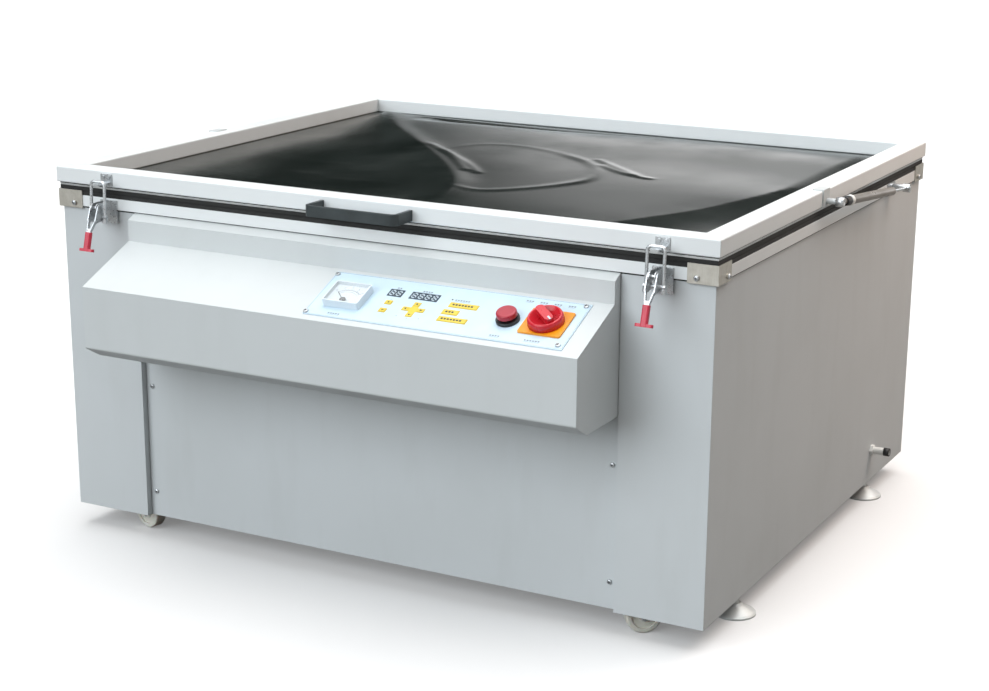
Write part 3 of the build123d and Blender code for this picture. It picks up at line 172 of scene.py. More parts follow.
def bareMetal(name, m):  # a bare or plated metal: its grain runs long on one axis, with cloudy dull patches
    made, tree, shader = startMaterial(name, m["base"], m["gloss"][0], {"Metallic": m.get("metallic", 1.0)})
    place = addNode(tree, "TexCoord").outputs["Object"]
    drawn = addNode(tree, "Mapping", {"Scale": tuple(1 / s for s in m["lay"])}, {"Vector": place})
    lines = addNode(tree, "TexNoise", {"Scale": 1 / (m["grain"] * mm), "Detail": 4.0}, {"Vector": drawn})
    cloud = addNode(tree, "TexNoise", {"Scale": 1 / (m["grain"] * metalGrain["patch"] * mm), "Detail": 3.0},
                    {"Vector": place})
    dull = addNode(tree, "MapRange", {**noiseSpan, "To Max": 0.7}, {"Value": cloud})
    lined = addNode(tree, "MapRange", {**noiseSpan, "To Max": 0.35}, {"Value": lines})
    tone = addNode(tree, "MixRGB", {"Color1": linear(m["base"]), "Color2": linear(m["shade"])}, {"Fac": dull})
    colour = addNode(tree, "MixRGB", {"Color2": linear(m["shade"])}, {"Fac": lined, "Color1": tone})
    low, high = m["gloss"]
    gloss = addNode(tree, "MapRange", {**noiseSpan, "To Min": low, "To Max": high}, {"Value": lines})
    rounded = addNode(tree, "Bevel", {"samples": 4, "Radius": metalGrain["edge"] * mm})
    bump = addNode(tree, "Bump", {"Distance": metalGrain["depth"] * mm}, {"Height": lines, "Normal": rounded})
    tree.links.new(colour.outputs[0], shader["Base Color"])
    tree.links.new(gloss.outputs[0], shader["Roughness"])
    tree.links.new(bump.outputs[0], shader["Normal"])
    return made


# grain: mm across a metal's finest marks. Brushed, ground and rolled lines are nearer 0.1 mm on the real ones, too
# fine to show, so they are drawn coarse; the galvanising's spangles have their real size
# lay: how many times longer the marks run along x, y and z
metals = {
    # stainless sheet, brushed along its length: bright, with fine drawn lines
    "brushedStainlessSteel": {
        "base": "#CBC8C0", "shade": "#AFABA1", "gloss": (0.30, 0.42), "metallic": 0.8, "lay": (1, 1, 14), "grain": 0.9},
    # cast feet, lacquered over zinc: pale and satin, with no mirror in them
    "satinLacqueredZinc": {
        "base": "#DFE2E1", "shade": "#C4C8C7", "gloss": (0.44, 0.56), "metallic": 0.35, "lay": (1, 1, 1), "grain": 2.0},
    # zinc plate on tumbled pressings: a cool silver with cloudy blotches
    "zincPlatedSteel": {
        "base": "#D0D3D5", "shade": "#A6AAAD", "gloss": (0.24, 0.37), "metallic": 0.8, "lay": (1, 1, 1), "grain": 3.0},
    # hot-dip galvanised sheet inside the cabinet: dull, with large soft spangles
    "galvanisedSteelSheet": {
        "base": "#A7ABAD", "shade": "#868B8E", "gloss": (0.42, 0.58), "lay": (1, 1, 1), "grain": 12.0},
    # ground and polished rod: close to a mirror
    "groundSteelRod": {
        "base": "#CFD1D2", "shade": "#A6A9AB", "gloss": (0.10, 0.20), "lay": (6, 6, 1), "grain": 0.8},
    # aluminium as the mill rolled it: satin, with long faint lines
    "rolledAluminium": {
        "base": "#C4C6C6", "shade": "#9EA1A2", "gloss": (0.30, 0.44), "lay": (12, 1, 1), "grain": 1.2},
}
metal = {name: bareMetal(name, look) for name, look in metals.items()}

print("materials: rubbers, plastics and glass")
skinCloud = 35.0  # mm, the patches where handling has changed a skin's colour and gloss a little


def mouldedSkin(name, m):  # a moulded, sprayed or cast skin: clouded colour and gloss over a fine grain
    made, tree, shader = startMaterial(name, m["base"], m["gloss"][0], m.get("sockets"))
    place = addNode(tree, "TexCoord").outputs["Object"]
    fine = addNode(tree, "TexNoise", {"Scale": 1 / (m["grain"] * mm), "Detail": 3.0}, {"Vector": place})
    cloud = addNode(tree, "TexNoise", {"Scale": 1 / (skinCloud * mm), "Detail": 4.0}, {"Vector": place})
    uneven = addNode(tree, "MapRange", {**noiseSpan, "To Max": 0.55}, {"Value": cloud})
    colour = addNode(tree, "MixRGB", {"Color1": linear(m["base"]), "Color2": linear(m["shade"])}, {"Fac": uneven})
    low, high = m["gloss"]
    gloss = addNode(tree, "MapRange", {**noiseSpan, "To Min": low, "To Max": high}, {"Value": cloud})
    rounded = addNode(tree, "Bevel", {"samples": 4, "Radius": m["edge"] * mm})
    bump = addNode(tree, "Bump", {"Distance": m["depth"] * mm}, {"Height": fine, "Normal": rounded})
    tree.links.new(colour.outputs[0], shader["Base Color"])
    tree.links.new(gloss.outputs[0], shader["Roughness"])
    tree.links.new(bump.outputs[0], shader["Normal"])
    return made


# grain: mm across a skin's texture, drawn two to five times as coarse as the real spark and mould marks, so that it
# shows; depth: mm of that relief; edge: mm of rounding
skins = {
    # extruded EPDM sponge: matt black with open pores, greyed by dust
    "extrudedSpongeRubber": {
        "base": "#1B1C1C", "shade": "#2D2D2B", "gloss": (0.75, 0.92), "grain": 1.6, "depth": 0.08, "edge": 0.8},
    # injection-moulded black nylon: a fine spark texture and low gloss
    "mouldedBlackNylon": {
        "base": "#17181A", "shade": "#232426", "gloss": (0.38, 0.52), "grain": 0.9, "depth": 0.015, "edge": 0.6},
    # stoved dark enamel on the lid's handle: thin gloss over smooth steel, duller where hands go
    "stovedDarkEnamel": {
        "base": "#2C3335", "shade": "#3D4648", "gloss": (0.28, 0.42), "grain": 3.0, "depth": 0.01, "edge": 0.8},
    # grey-brown lacquer on the drawn tube of a gas strut
    "lacqueredStrutTube": {
        "base": "#7E7A74", "shade": "#6A6661", "gloss": (0.24, 0.38), "grain": 2.5, "depth": 0.008, "edge": 0.4},
    # signal-red ABS of the rotary switch: even colour, glossy, a slight mould grain
    "mouldedRedAbs": {
        "base": "#CE2230", "shade": "#B01B29", "gloss": (0.22, 0.34), "grain": 1.5, "depth": 0.006, "edge": 0.8},
    # crimson ABS of the push button, darker than the switch
    "mouldedCrimsonAbs": {
        "base": "#AE2034", "shade": "#8F1A2C", "gloss": (0.22, 0.34), "grain": 1.5, "depth": 0.006, "edge": 0.8},
    # yellow ABS plate behind the rotary switch: warm and satin
    "mouldedYellowAbs": {
        "base": "#EE9A12", "shade": "#DA8610", "gloss": (0.34, 0.46), "grain": 1.2, "depth": 0.010, "edge": 0.6},
    # cast polyurethane tyres: cream, slightly waxy, scuffed grey on the tread
    "castPolyurethane": {
        "base": "#E8E5DB", "shade": "#CDC9BB", "gloss": (0.36, 0.55), "grain": 2.0, "depth": 0.03, "edge": 0.8,
        "sockets": {"Subsurface Weight": 0.08}},
    # vinyl dipped on the latch levers: soft red with a gloss skin
    "dippedRedVinyl": {
        "base": "#CC2C46", "shade": "#B0233A", "gloss": (0.28, 0.42), "grain": 4.0, "depth": 0.02, "edge": 0.6,
        "sockets": {"Subsurface Weight": 0.05}},
    # lamp glass with phosphor inside: chalk white and glossy
    "phosphorCoatedLampGlass": {
        "base": "#E9EAEC", "shade": "#DDDFE4", "gloss": (0.08, 0.14), "grain": 6.0, "depth": 0.004, "edge": 0.4},
    # printed polyester membrane: pale blue ink under a finely textured film
    "printedPolyesterFilm": {
        "base": "#C9DEEC", "shade": "#BCD4E4", "gloss": (0.36, 0.48), "grain": 0.6, "depth": 0.010, "edge": 0.3},
    # key domes embossed in the same film, in yellow ink
    "embossedYellowFilm": {
        "base": "#E2C94A", "shade": "#CDB33A", "gloss": (0.34, 0.44), "grain": 0.6, "depth": 0.010, "edge": 0.8},
    # smoked polyester over the displays: slate grey and glossy, so that the pale segments stand out
    "smokedDisplayFilm": {
        "base": "#46525E", "shade": "#3D4853", "gloss": (0.10, 0.18), "grain": 5.0, "depth": 0.002, "edge": 0.3},
    # moulded polystyrene of the meter's case and dial: white with a cold blue cast, glossy
    "mouldedWhitePolystyrene": {
        "base": "#DFE9F0", "shade": "#D5E0E8", "gloss": (0.14, 0.24), "grain": 3.0, "depth": 0.004, "edge": 0.8},
    # white nylon, turned, of the exhaust stub and the strut collars: waxy, with a soft shine
    "turnedWhiteNylon": {
        "base": "#F1F2F0", "shade": "#E2E3DF", "gloss": (0.30, 0.42), "grain": 1.0, "depth": 0.012, "edge": 0.4},
    # screen-printed ink: matt, nearly black and thin, a little greyer in patches
    "screenPrintedInk": {
        "base": "#23282D", "shade": "#3A4046", "gloss": (0.50, 0.62), "grain": 0.5, "depth": 0.004, "edge": 0.1},
    # screen-printed grey ink of the rules and marks on the membrane
    "screenPrintedGreyInk": {
        "base": "#7C8791", "shade": "#8E98A1", "gloss": (0.50, 0.62), "grain": 0.5, "depth": 0.004, "edge": 0.1},
    # cast epoxy of the display's segments, not lit: milky and smooth
    "castEpoxySegment": {
        "base": "#C9D8E2", "shade": "#BCCDD8", "gloss": (0.20, 0.30), "grain": 2.0, "depth": 0.004, "edge": 0.2},
}
skin = {name: mouldedSkin(name, look) for name, look in skins.items()}

smudges = {"wide": 60.0, "colour": "#C9D6D2"}  # mm across a wiping mark, and the grease that it leaves


def clearSheet(name, tint, roughness, sockets):  # clear glass or acrylic with its own tint and a few wiping marks
    made, tree, shader = startMaterial(name, tint, roughness, sockets)
    place = addNode(tree, "TexCoord").outputs["Object"]
    smudge = addNode(tree, "TexNoise", {"Scale": 1 / (smudges["wide"] * mm), "Detail": 5.0}, {"Vector": place})
    strong = {"From Min": 0.45, "From Max": 0.8}
    greasy = addNode(tree, "MapRange", {**strong, "To Max": 0.15}, {"Value": smudge})
    gloss = addNode(tree, "MapRange", {**strong, "To Min": roughness, "To Max": roughness + 0.06},
                    {"Value": smudge})
    colour = addNode(tree, "MixRGB", {"Color1": linear(tint), "Color2": linear(smudges["colour"])},
                     {"Fac": greasy})
    tree.links.new(colour.outputs[0], shader["Base Color"])
    tree.links.new(gloss.outputs[0], shader["Roughness"])
    return made


# floated soda-lime glass: mirror-smooth and faintly green
floatGlass = clearSheet("floatGlass", "#DDEAE4", 0.02, {"IOR": 1.52, "Transmission Weight": 0.97})
# cast acrylic of the meter's window: colourless and thin, seen mostly by its gloss
clearAcrylic = clearSheet("castClearAcrylic", "#F2F4F4", 0.03, {"IOR": 1.49, "Alpha": 0.14})

slotFinish = {
    "powder_grey": cabinetPaint,
    "console_white": consolePaint,
    "dark_paint": skin["stovedDarkEnamel"],
    "strut_grey": skin["lacqueredStrutTube"],
    "stainless": metal["brushedStainlessSteel"],
    "zinc_steel": metal["zincPlatedSteel"],
    "galvanised": metal["galvanisedSteelSheet"],
    "polished_steel": metal["groundSteelRod"],
    "aluminium": metal["rolledAluminium"],
    "seal_rubber": skin["extrudedSpongeRubber"],
    "blanket_rubber": skin["extrudedSpongeRubber"],
    "glass": floatGlass,
    "clear_window": clearAcrylic,
    "overlay_blue": skin["printedPolyesterFilm"],
    "key_yellow": skin["embossedYellowFilm"],
    "isolator_yellow": skin["mouldedYellowAbs"],
    "signal_red": skin["mouldedRedAbs"],
    "grip_red": skin["dippedRedVinyl"],
    "black_plastic": skin["mouldedBlackNylon"],
    "display_black": skin["smokedDisplayFilm"],
    "wheel_cream": skin["castPolyurethane"],
    "lamp_white": skin["phosphorCoatedLampGlass"],
}
nodeFinish = {
    "lid_frame": lidPaint,
    "table_frame": lidPaint,
    "stop_button": skin["mouldedCrimsonAbs"],
    "meter_case": skin["mouldedWhitePolystyrene"],
    "exhaust_stub": skin["turnedWhiteNylon"],
    "case_screws": metal["zincPlatedSteel"],
    "levelling_feet": metal["satinLacqueredZinc"],
}

for part in frame["record"]["subparts"]:
    finish = nodeFinish.get(part["node"]) or slotFinish[part["material_slot"]]
    mesh = nodes[part["node"]].data
    mesh.materials.clear()
    mesh.materials.append(finish)
print("finishes put on the nodes")


def meshPiece(name, points, faces, finish, body, smooth=False):
    data = bpy.data.meshes.new(name)
    data.from_pydata([tuple(p) for p in points], [], faces)
    data.update()
    for polygon in data.polygons:
        polygon.use_smooth = smooth
    data.materials.append(finish)
    piece = bpy.data.objects.new(name, data)
    bpy.context.scene.collection.objects.link(piece)
    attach(piece, body)
    return piece


print("blanket: slack rubber with its folds")
blanket = {
    "cut": (1242.0, 1042.0),  # mm, the rubber sheet before it is clamped
    "thick": 1.8,
    "step": 6.0,  # mm between the grid's points
    "under": (40.0, 0.05),  # mm, the width of the lid's tubes that cover the edge, and the gap below them
    "flat": 4.0,  # mm beside the tubes that stay flat
    "ease": 60.0,  # mm over which it comes up to its full height
    "rise": (8.0, 5.0),  # mm that the slack stands above its clamped edge, and how much more in the middle
    "swell": (420.0, 0.5),  # mm, the length and height of the long slack waves
    "swells": 5,
    "seed": 7,
    "taper": 6.0,  # a fold comes up to its height over about a sixth of its length at each end
    # each fold: its height and half width in mm, then the line that it follows, from the cabinet's middle
    "folds": (
        (4.0, 36.0, ((-600, 520), (-549, 458), (-428, 283), (-310, 150), (-200, 30), (-120, -60), (-64, -128),
                     (-10, -200), (23, -259), (56, -356), (60, -420))),
        (1.9, 10.0, ((-235, 96), (-133, 0), (-55, -90), (-17, -138))),
        (1.6, 9.0, ((-176, 46), (-87, -35), (-28, -97), (9, -146))),
        (0.5, 14.0, ((-171, 56), (-145, 139), (-73, 168), (29, 136), (126, 66))),
        (1.1, 13.0, ((29, 136), (109, 81), (170, 8), (201, -89), (181, -167), (138, -235), (84, -278), (22, -272))),
        (1.3, 9.0, ((118, 112), (183, 52), (265, -18))),
        (1.1, 9.0, ((151, 57), (229, -4), (300, -31))),
        (-8.5, 26.0, ((-440, 405), (-249, 418), (-30, 430), (176, 442), (383, 452), (560, 458))),
    ),
    # each slope: the drop in mm, how far it takes to fall, and the line to whose right it falls
    "slopes": (
        (9.0, 90.0, ((-640, 560), (-549, 458), (-428, 283), (-310, 150), (-200, 30), (-64, -128), (23, -259),
                     (56, -356), (50, -520))),
        (10.0, 52.0, ((330, -560), (424, -346), (488, -183), (537, 33), (552, 212), (560, 520))),
    ),
}


def alongLine(points, count=90):  # the same line through more points, rounded by Catmull-Rom
    p = np.array([points[0], *points, points[-1]], float)
    made = []
    for k in range(1, len(p) - 2):
        a, b, c, d = p[k - 1:k + 3]
        for t in np.linspace(0, 1, count // (len(p) - 3) + 2, endpoint=False):
            curve = 2 * b + (c - a) * t + (2 * a - 5 * b + 4 * c - d) * t * t + (3 * b - a - 3 * c + d) * t ** 3
            made.append(0.5 * curve)
    return np.array(made + [p[-2]])


def blanketHeights(x, y, halfW, halfD, b):  # mm above the flat border, for every point of the grid
    inside = np.minimum(halfW - np.abs(x), halfD - np.abs(y)) - b["flat"]
    free = np.clip(inside / b["ease"], 0, 1)
    free = free * free * (3 - 2 * free)
    belly = np.clip(1 - (x / halfW) ** 2, 0, 1) * np.clip(1 - (y / halfD) ** 2, 0, 1)
    z = b["rise"][0] + b["rise"][1] * belly
    waves = np.random.default_rng(b["seed"])
    for _ in range(b["swells"]):
        angle, phase = waves.uniform(0, math.pi), waves.uniform(0, 2 * math.pi)
        length = b["swell"][0] * waves.uniform(0.7, 1.5)
        across = x * math.cos(angle) + y * math.sin(angle)
        z = z + b["swell"][1] * np.sin(2 * math.pi * across / length + phase)
    for drop, run, line in b["slopes"]:
        path = alongLine(line)
        nearest, far = np.full(x.shape, 1e9), np.zeros(x.shape)
        for (px, py), (qx, qy) in zip(path, path[1:]):
            d = np.hypot(x - px, y - py)
            side = (x - px) * (qy - py) - (y - py) * (qx - px)
            far = np.where(d < nearest, np.where(side > 0, d, 0), far)
            nearest = np.minimum(nearest, d)
        z = z - drop * (1 - np.exp(-far / run))
    for high, half, line in b["folds"]:
        path = alongLine(line)
        nearest = np.full(x.shape, 1e9)
        place = np.zeros(x.shape)
        for k, (px, py) in enumerate(path):
            d = (x - px) ** 2 + (y - py) ** 2
            closer = d < nearest
            nearest = np.where(closer, d, nearest)
            place = np.where(closer, k / (len(path) - 1), place)
        fade = np.clip(np.minimum(place, 1 - place) * b["taper"] + 0.1, 0, 1)
        z = z + high * fade * fade * (3 - 2 * fade) * np.exp(-nearest / (2 * (half * 0.6) ** 2))
    return z * free


def makeBlanket(b, finish):
    reach, gap = b["under"]
    halfW = (lidHigh.x - lidLow.x) / 2 / mm - reach
    halfD = (lidHigh.y - lidLow.y) / 2 / mm - reach
    wide, deep = b["cut"]
    nx, ny = int(wide / b["step"]) + 1, int(deep / b["step"]) + 1
    gx, gy = np.meshgrid(np.linspace(-wide / 2, wide / 2, nx), np.linspace(-deep / 2, deep / 2, ny))
    gz = blanketHeights(gx, gy, halfW, halfD, b) + lidLow.z / mm - gap
    points = np.stack([gx * mm, gy * mm + midY, gz * mm], -1).reshape(-1, 3)
    under = points - np.array([0, 0, b["thick"] * mm])
    low = nx * ny  # where the underside's points start
    faces = []
    for j in range(ny - 1):
        for i in range(nx - 1):
            k = j * nx + i
            faces.append((k, k + 1, k + nx + 1, k + nx))
            faces.append((low + k + nx, low + k + nx + 1, low + k + 1, low + k))
    ring = list(range(nx)) + [j * nx + nx - 1 for j in range(1, ny)]
    ring += [(ny - 1) * nx + i for i in range(nx - 2, -1, -1)] + [j * nx for j in range(ny - 2, 0, -1)]
    for k, m in zip(ring, ring[1:] + ring[:1]):
        faces.append((k, low + k, low + m, m))
    both = np.concatenate([points, under]).tolist()
    piece = meshPiece("rubberBlanket", both, faces, finish, "lid", True)
    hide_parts("blanket")


rubber = {
    "base": "#1F2523",
    "tones": ("#1C2220", "#272D2B"),  # the clean sheet, and its patches that are a little bleached
    "chalk": "#5E6461",
    "cloud": 150.0,  # mm, those patches
    "wipe": 34.0,  # mm across a chalky wiping mark, four times as long
    "turn": 0.35,  # radians, how the wiping runs
    "weave": 1.4,  # mm across the cloth print that the liner left, which is nearer 0.5 mm on the real one
    "weaveDepth": 0.008,
    "gloss": (0.13, 0.24),
}


# calendered natural rubber: green-black and semi-gloss, with chalky wiping marks and a faint print of the liner
def rubberSheet(r):
    made, tree, shader = startMaterial("calenderedRubberSheet", r["base"], 0.2, {"IOR": 1.52})
    place = addNode(tree, "TexCoord").outputs["Object"]
    cloud = addNode(tree, "TexNoise", {"Scale": 1 / (r["cloud"] * mm), "Detail": 4.0}, {"Vector": place})
    long = addNode(tree, "Mapping", {"Scale": (0.25, 1, 1), "Rotation": (0, 0, r["turn"])}, {"Vector": place})
    chalk = addNode(tree, "TexNoise", {"Scale": 1 / (r["wipe"] * mm), "Detail": 6.0}, {"Vector": long})
    liner = addNode(tree, "TexNoise", {"Scale": 1 / (r["weave"] * mm), "Detail": 2.0}, {"Vector": place})
    patchy = addNode(tree, "MapRange", {"From Min": 0.35, "From Max": 0.7, "To Max": 0.8}, {"Value": cloud})
    wiped = addNode(tree, "MapRange", {"From Min": 0.54, "From Max": 0.8, "To Max": 0.12}, {"Value": chalk})
    clean, bleached = (linear(tone) for tone in r["tones"])
    tone = addNode(tree, "MixRGB", {"Color1": clean, "Color2": bleached}, {"Fac": patchy})
    colour = addNode(tree, "MixRGB", {"Color2": linear(r["chalk"])}, {"Fac": wiped, "Color1": tone})
    low, high = r["gloss"]
    gloss = addNode(tree, "MapRange", {**noiseSpan, "To Min": low, "To Max": high}, {"Value": cloud})
    bump = addNode(tree, "Bump", {"Distance": r["weaveDepth"] * mm}, {"Height": liner})
    tree.links.new(colour.outputs[0], shader["Base Color"])
    tree.links.new(gloss.outputs[0], shader["Roughness"])
    tree.links.new(bump.outputs[0], shader["Normal"])
    return made


makeBlanket(blanket, rubberSheet(rubber))

print("console: dial, display segments, printed rules and symbols")
console = {
    "edge": (-538.0, 550.0),  # mm, the slope's upper edge: how far in front of the middle, and how high
    "fall": (127.0, 55.0),  # mm, how far the slope runs out and drops
    "plate": (-28.0, 430.0, 9.5, 125.5),  # left, right, upper and lower edge, along and down the slope
    "plateThick": 1.5,
    "ink": 0.12,  # mm that print stands proud, many times the real film of ink
    "rule": (1.6, 3.0, 0.5),  # mm in from the plate's edge, how far its corners are cut, and how wide it is
    "dash": (3.2, 1.4, 1.3),  # mm, how long each is, the gap to the next, and half its height
    "key": (0.3, 1.0),  # mm that the yellow film and a key's dome stand above the plate
    "window": 0.6,  # mm that the displays stand above the plate
}
slopeLong = math.hypot(*console["fall"])
downSlope = Vector((0, -console["fall"][0], -console["fall"][1])) / slopeLong
offSlope = Vector((0, -console["fall"][1], console["fall"][0])) / slopeLong


def onSlope(u, v, h):  # metres, from mm along the console, down its slope and off it
    start = Vector((0, midY / mm + console["edge"][0], console["edge"][1]))
    return (start + Vector((u, 0, 0)) + downSlope * v + offSlope * h) * mm


def raisedShapes(name, shapes, base, thick, finish, body="cabinet"):
    points, faces = [], []
    for shape in shapes:  # each a closed outline in mm, drawn clockwise on the page
        first, count = len(points), len(shape)
        points += [onSlope(u, v, h) for h in (base, base + thick) for u, v in shape]
        faces.append(tuple(range(first, first + count)))
        faces.append(tuple(range(first + 2 * count - 1, first + count - 1, -1)))
        for k in range(count):
            m = (k + 1) % count
            faces.append((first + k, first + count + k, first + count + m, first + m))
    return meshPiece(name, points, faces, finish, body)


def bar(u0, v0, u1, v1):
    return [(u0, v0), (u1, v0), (u1, v1), (u0, v1)]


def stroke(u0, v0, u1, v1, wide):  # a straight line of a given width
    length = math.hypot(u1 - u0, v1 - v0)
    du, dv = (v1 - v0) / length * wide / 2, -(u1 - u0) / length * wide / 2
    return [(u0 + du, v0 + dv), (u1 + du, v1 + dv), (u1 - du, v1 - dv), (u0 - du, v0 - dv)]


def arc(cu, cv, r, fromDeg, toDeg, wide, steps=18):  # a curved line as short strokes; 0 degrees is up the slope
    turns = [math.radians(fromDeg + (toDeg - fromDeg) * k / steps) for k in range(steps + 1)]
    dots = [(cu + r * math.sin(t), cv - r * math.cos(t)) for t in turns]
    return [stroke(*a, *b, wide) for a, b in zip(dots, dots[1:])]


def disc(cu, cv, r, steps):
    turns = [2 * math.pi * k / steps for k in range(steps)]
    return [(cu + r * math.sin(t), cv - r * math.cos(t)) for t in turns]


def sevenSegments(u, v, wide, tall, line, lit="abcdefg"):  # one numeral from its middle, leaning a little
    w, t = wide / 2, tall / 2
    g = line * 0.25  # the gap at each end of a segment
    ends = {"a": (-w, -t, w, -t), "b": (w, -t, w, 0), "c": (w, 0, w, t), "d": (-w, t, w, t),
            "e": (-w, 0, -w, t), "f": (-w, -t, -w, 0), "g": (-w, 0, w, 0)}
    made = []
    for name in lit:
        u0, v0, u1, v1 = ends[name]
        gu, gv = (g + line * 0.4 if u0 != u1 else 0), (g + line * 0.4 if v0 != v1 else 0)
        outline = stroke(u + u0 + gu, v + v0 + gv, u + u1 - gu, v + v1 - gv, line)
        made.append([(a - (b - v) * 0.12, b) for a, b in outline])
    return made


numerals = {"0": "abcdef", "2": "abged", "4": "fgbc", "6": "afgedc", "8": "abcdefg"}
ink = skin["screenPrintedInk"]
greyInk = skin["screenPrintedGreyInk"]
top, inkThick = console["plateThick"], console["ink"]

edge, clip, ruleWide = console["rule"]
u0, u1, v0, v1 = console["plate"]
u0, u1, v0, v1 = u0 + edge, u1 - edge, v0 + edge, v1 - edge
rule = [(u0 + clip, v0), (u1 - clip, v0), (u1, v0 + clip), (u1, v1 - clip),
        (u1 - clip, v1), (u0 + clip, v1), (u0, v1 - clip), (u0, v0 + clip)]
greyMarks = [stroke(*a, *b, ruleWide) for a, b in zip(rule, rule[1:] + rule[:1])]
labels = (  # rows of short dashes beside the controls: left end, row, how many dashes
    (14.0, 116.0, 5), (97.0, 31.5, 2), (144.0, 31.5, 4), (207.0, 42.0, 6), (303.0, 114.0, 4), (362.0, 114.0, 6),
    (322.0, 20.0, 3), (346.0, 20.0, 3), (370.0, 20.0, 3), (394.0, 20.0, 3),
)
dashLong, dashGap, dashHalf = console["dash"]
pitch = dashLong + dashGap
for left, row, count in labels:
    for k in range(count):
        greyMarks.append(bar(left + pitch * k, row - dashHalf, left + pitch * k + dashLong, row + dashHalf))
    greyMarks.append(bar(left, row + 3.0, left + pitch * count - dashGap, row + 3.5))
keyDots = ((101.0, 62.0), (151.0, 103.0), (131.0, 100.0), (171.0, 100.0))
greyMarks += [disc(cu, cv, 0.9, 10) for cu, cv in keyDots]
raisedShapes("printedRules", greyMarks, top, inkThick, greyInk)

# each arrow: its place along and down the slope, and its turn in degrees from pointing up
arrows = {(151.0, 66.0): 0, (151.0, 94.0): 180, (137.0, 80.0): 270, (165.0, 80.0): 90,
          (101.0, 70.0): 0, (101.0, 91.0): 180}
arrowTips = ((0, -2.6), (2.3, 1.5), (-2.3, 1.5))
squareKeys = ((101.0, 70.0), (101.0, 91.0))
wideKeys = ((228.5, 55.0, 49.0), (214.5, 74.0, 27.0), (226.5, 92.0, 49.0))  # the middle, and how wide
keyFilm, keyDome = console["key"]
keyMarks = []
for (cu, cv), turn in arrows.items():
    t = math.radians(turn)
    keyMarks.append([(cu + x * math.cos(t) - y * math.sin(t), cv + x * math.sin(t) + y * math.cos(t))
                     for x, y in arrowTips])
for cu, cv, wide in wideKeys:  # a row of short bars on each, 5.4 mm apart
    start, stop = cu - wide / 2 + 5, cu - wide / 2 + 8.6
    keyMarks += [bar(start + 5.4 * k, cv - 1.9, stop + 5.4 * k, cv + 1.9) for k in range(int((wide - 9) / 5.4))]
patches = [bar(131.0, 75.0, 171.0, 85.0), bar(145.0, 61.0, 157.0, 75.0), bar(145.0, 85.0, 157.0, 99.0)]
patches += [bar(cu - 6.5, cv - 5.5, cu + 6.5, cv + 5.5) for cu, cv in squareKeys]
patches += [bar(cu - wide / 2 - 1, cv - 6.5, cu + wide / 2 + 1, cv + 6.5) for cu, cv, wide in wideKeys]
raisedShapes("keyPatches", patches, top, keyFilm, skin["embossedYellowFilm"])
raisedShapes("printedIndicator", [disc(202.0, 42.0, 1.6, 14)], top, inkThick, ink)
raisedShapes("printedKeySymbols", keyMarks, top + keyDome, inkThick, ink)

displays = {
    "rows": ((101.0, 45.0, 26.0, 2), (153.5, 45.0, 51.0, 4)),  # each window's middle, width and number of digits
    "digit": (0.56, 11.5, 2.0),  # its width as a share of its place, then mm of height and of line
}
digitShare, digitTall, digitLine = displays["digit"]
segments = []
for cu, cv, wide, count in displays["rows"]:
    pitch = (wide - 2) / count
    for k in range(count):
        segments += sevenSegments(cu + (k - (count - 1) / 2) * pitch, cv, pitch * digitShare, digitTall, digitLine)
raisedShapes("displaySegments", segments, top + console["window"], inkThick, skin["castEpoxySegment"])

meter = {
    "middle": (29.0, 74.0),  # mm along and down the slope
    "size": (60.0, 47.0),
    "floor": (7.9, 1.0),  # mm off the slope, and how thick the dial is
    "pivot": (29.0, 90.0),
    "sweep": 45.0,  # degrees to each side
    "arcs": ((27.0, 0.5), (23.0, 0.35)),  # mm, the radius and line of the outer and the inner arc
    "ticks": (20, 5, 5.0, 2.4, 0.4),  # how many, which are long, the two lengths and the line in mm
    "figures": "02468",
    "figure": (7.6, 1.6, 3.0, 0.45),  # mm outside the arc, then width, height and line
    "hub": (5.2, 2.5, 1.6),  # mm, the cover over the needle's pivot: radius, height off the dial's back, thickness
}
mu, mv = meter["middle"]
mw, mh = meter["size"]
pu, pv = meter["pivot"]
sweep, radius = meter["sweep"], meter["arcs"][0][0]
dialFloor, dialThick = meter["floor"]
raisedShapes("meterDial", [bar(mu - mw / 2, mv - mh / 2, mu + mw / 2, mv + mh / 2)], dialFloor, dialThick,
             skin["mouldedWhitePolystyrene"])
scale = []
for r, line in meter["arcs"]:
    scale += arc(pu, pv, r, -sweep, sweep, line)
count, every, longTick, shortTick, line = meter["ticks"]
for k in range(count + 1):
    t = math.radians(-sweep + 2 * sweep * k / count)
    reach = radius + (longTick if k % every == 0 else shortTick)
    scale.append(stroke(pu + radius * math.sin(t), pv - radius * math.cos(t),
                        pu + reach * math.sin(t), pv - reach * math.cos(t), line))
out, wide, tall, line = meter["figure"]
for k, figure in enumerate(meter["figures"]):
    t = math.radians(-sweep + 2 * sweep * k / (len(meter["figures"]) - 1))
    r = radius + out
    scale += sevenSegments(pu + r * math.sin(t), pv - r * math.cos(t), wide, tall, line, numerals[figure])
raisedShapes("meterScale", scale, dialFloor + dialThick, inkThick, ink)
hubRadius, hubLow, hubThick = meter["hub"]
raisedShapes("meterHubCover", [disc(pu, pv, hubRadius, 28)], dialFloor + hubLow, hubThick,
             skin["mouldedBlackNylon"])

# of these, the black strip under the rails is painted shade
print("small parts: switch, screws, hose end, strut ends, weld beads, gapShade")


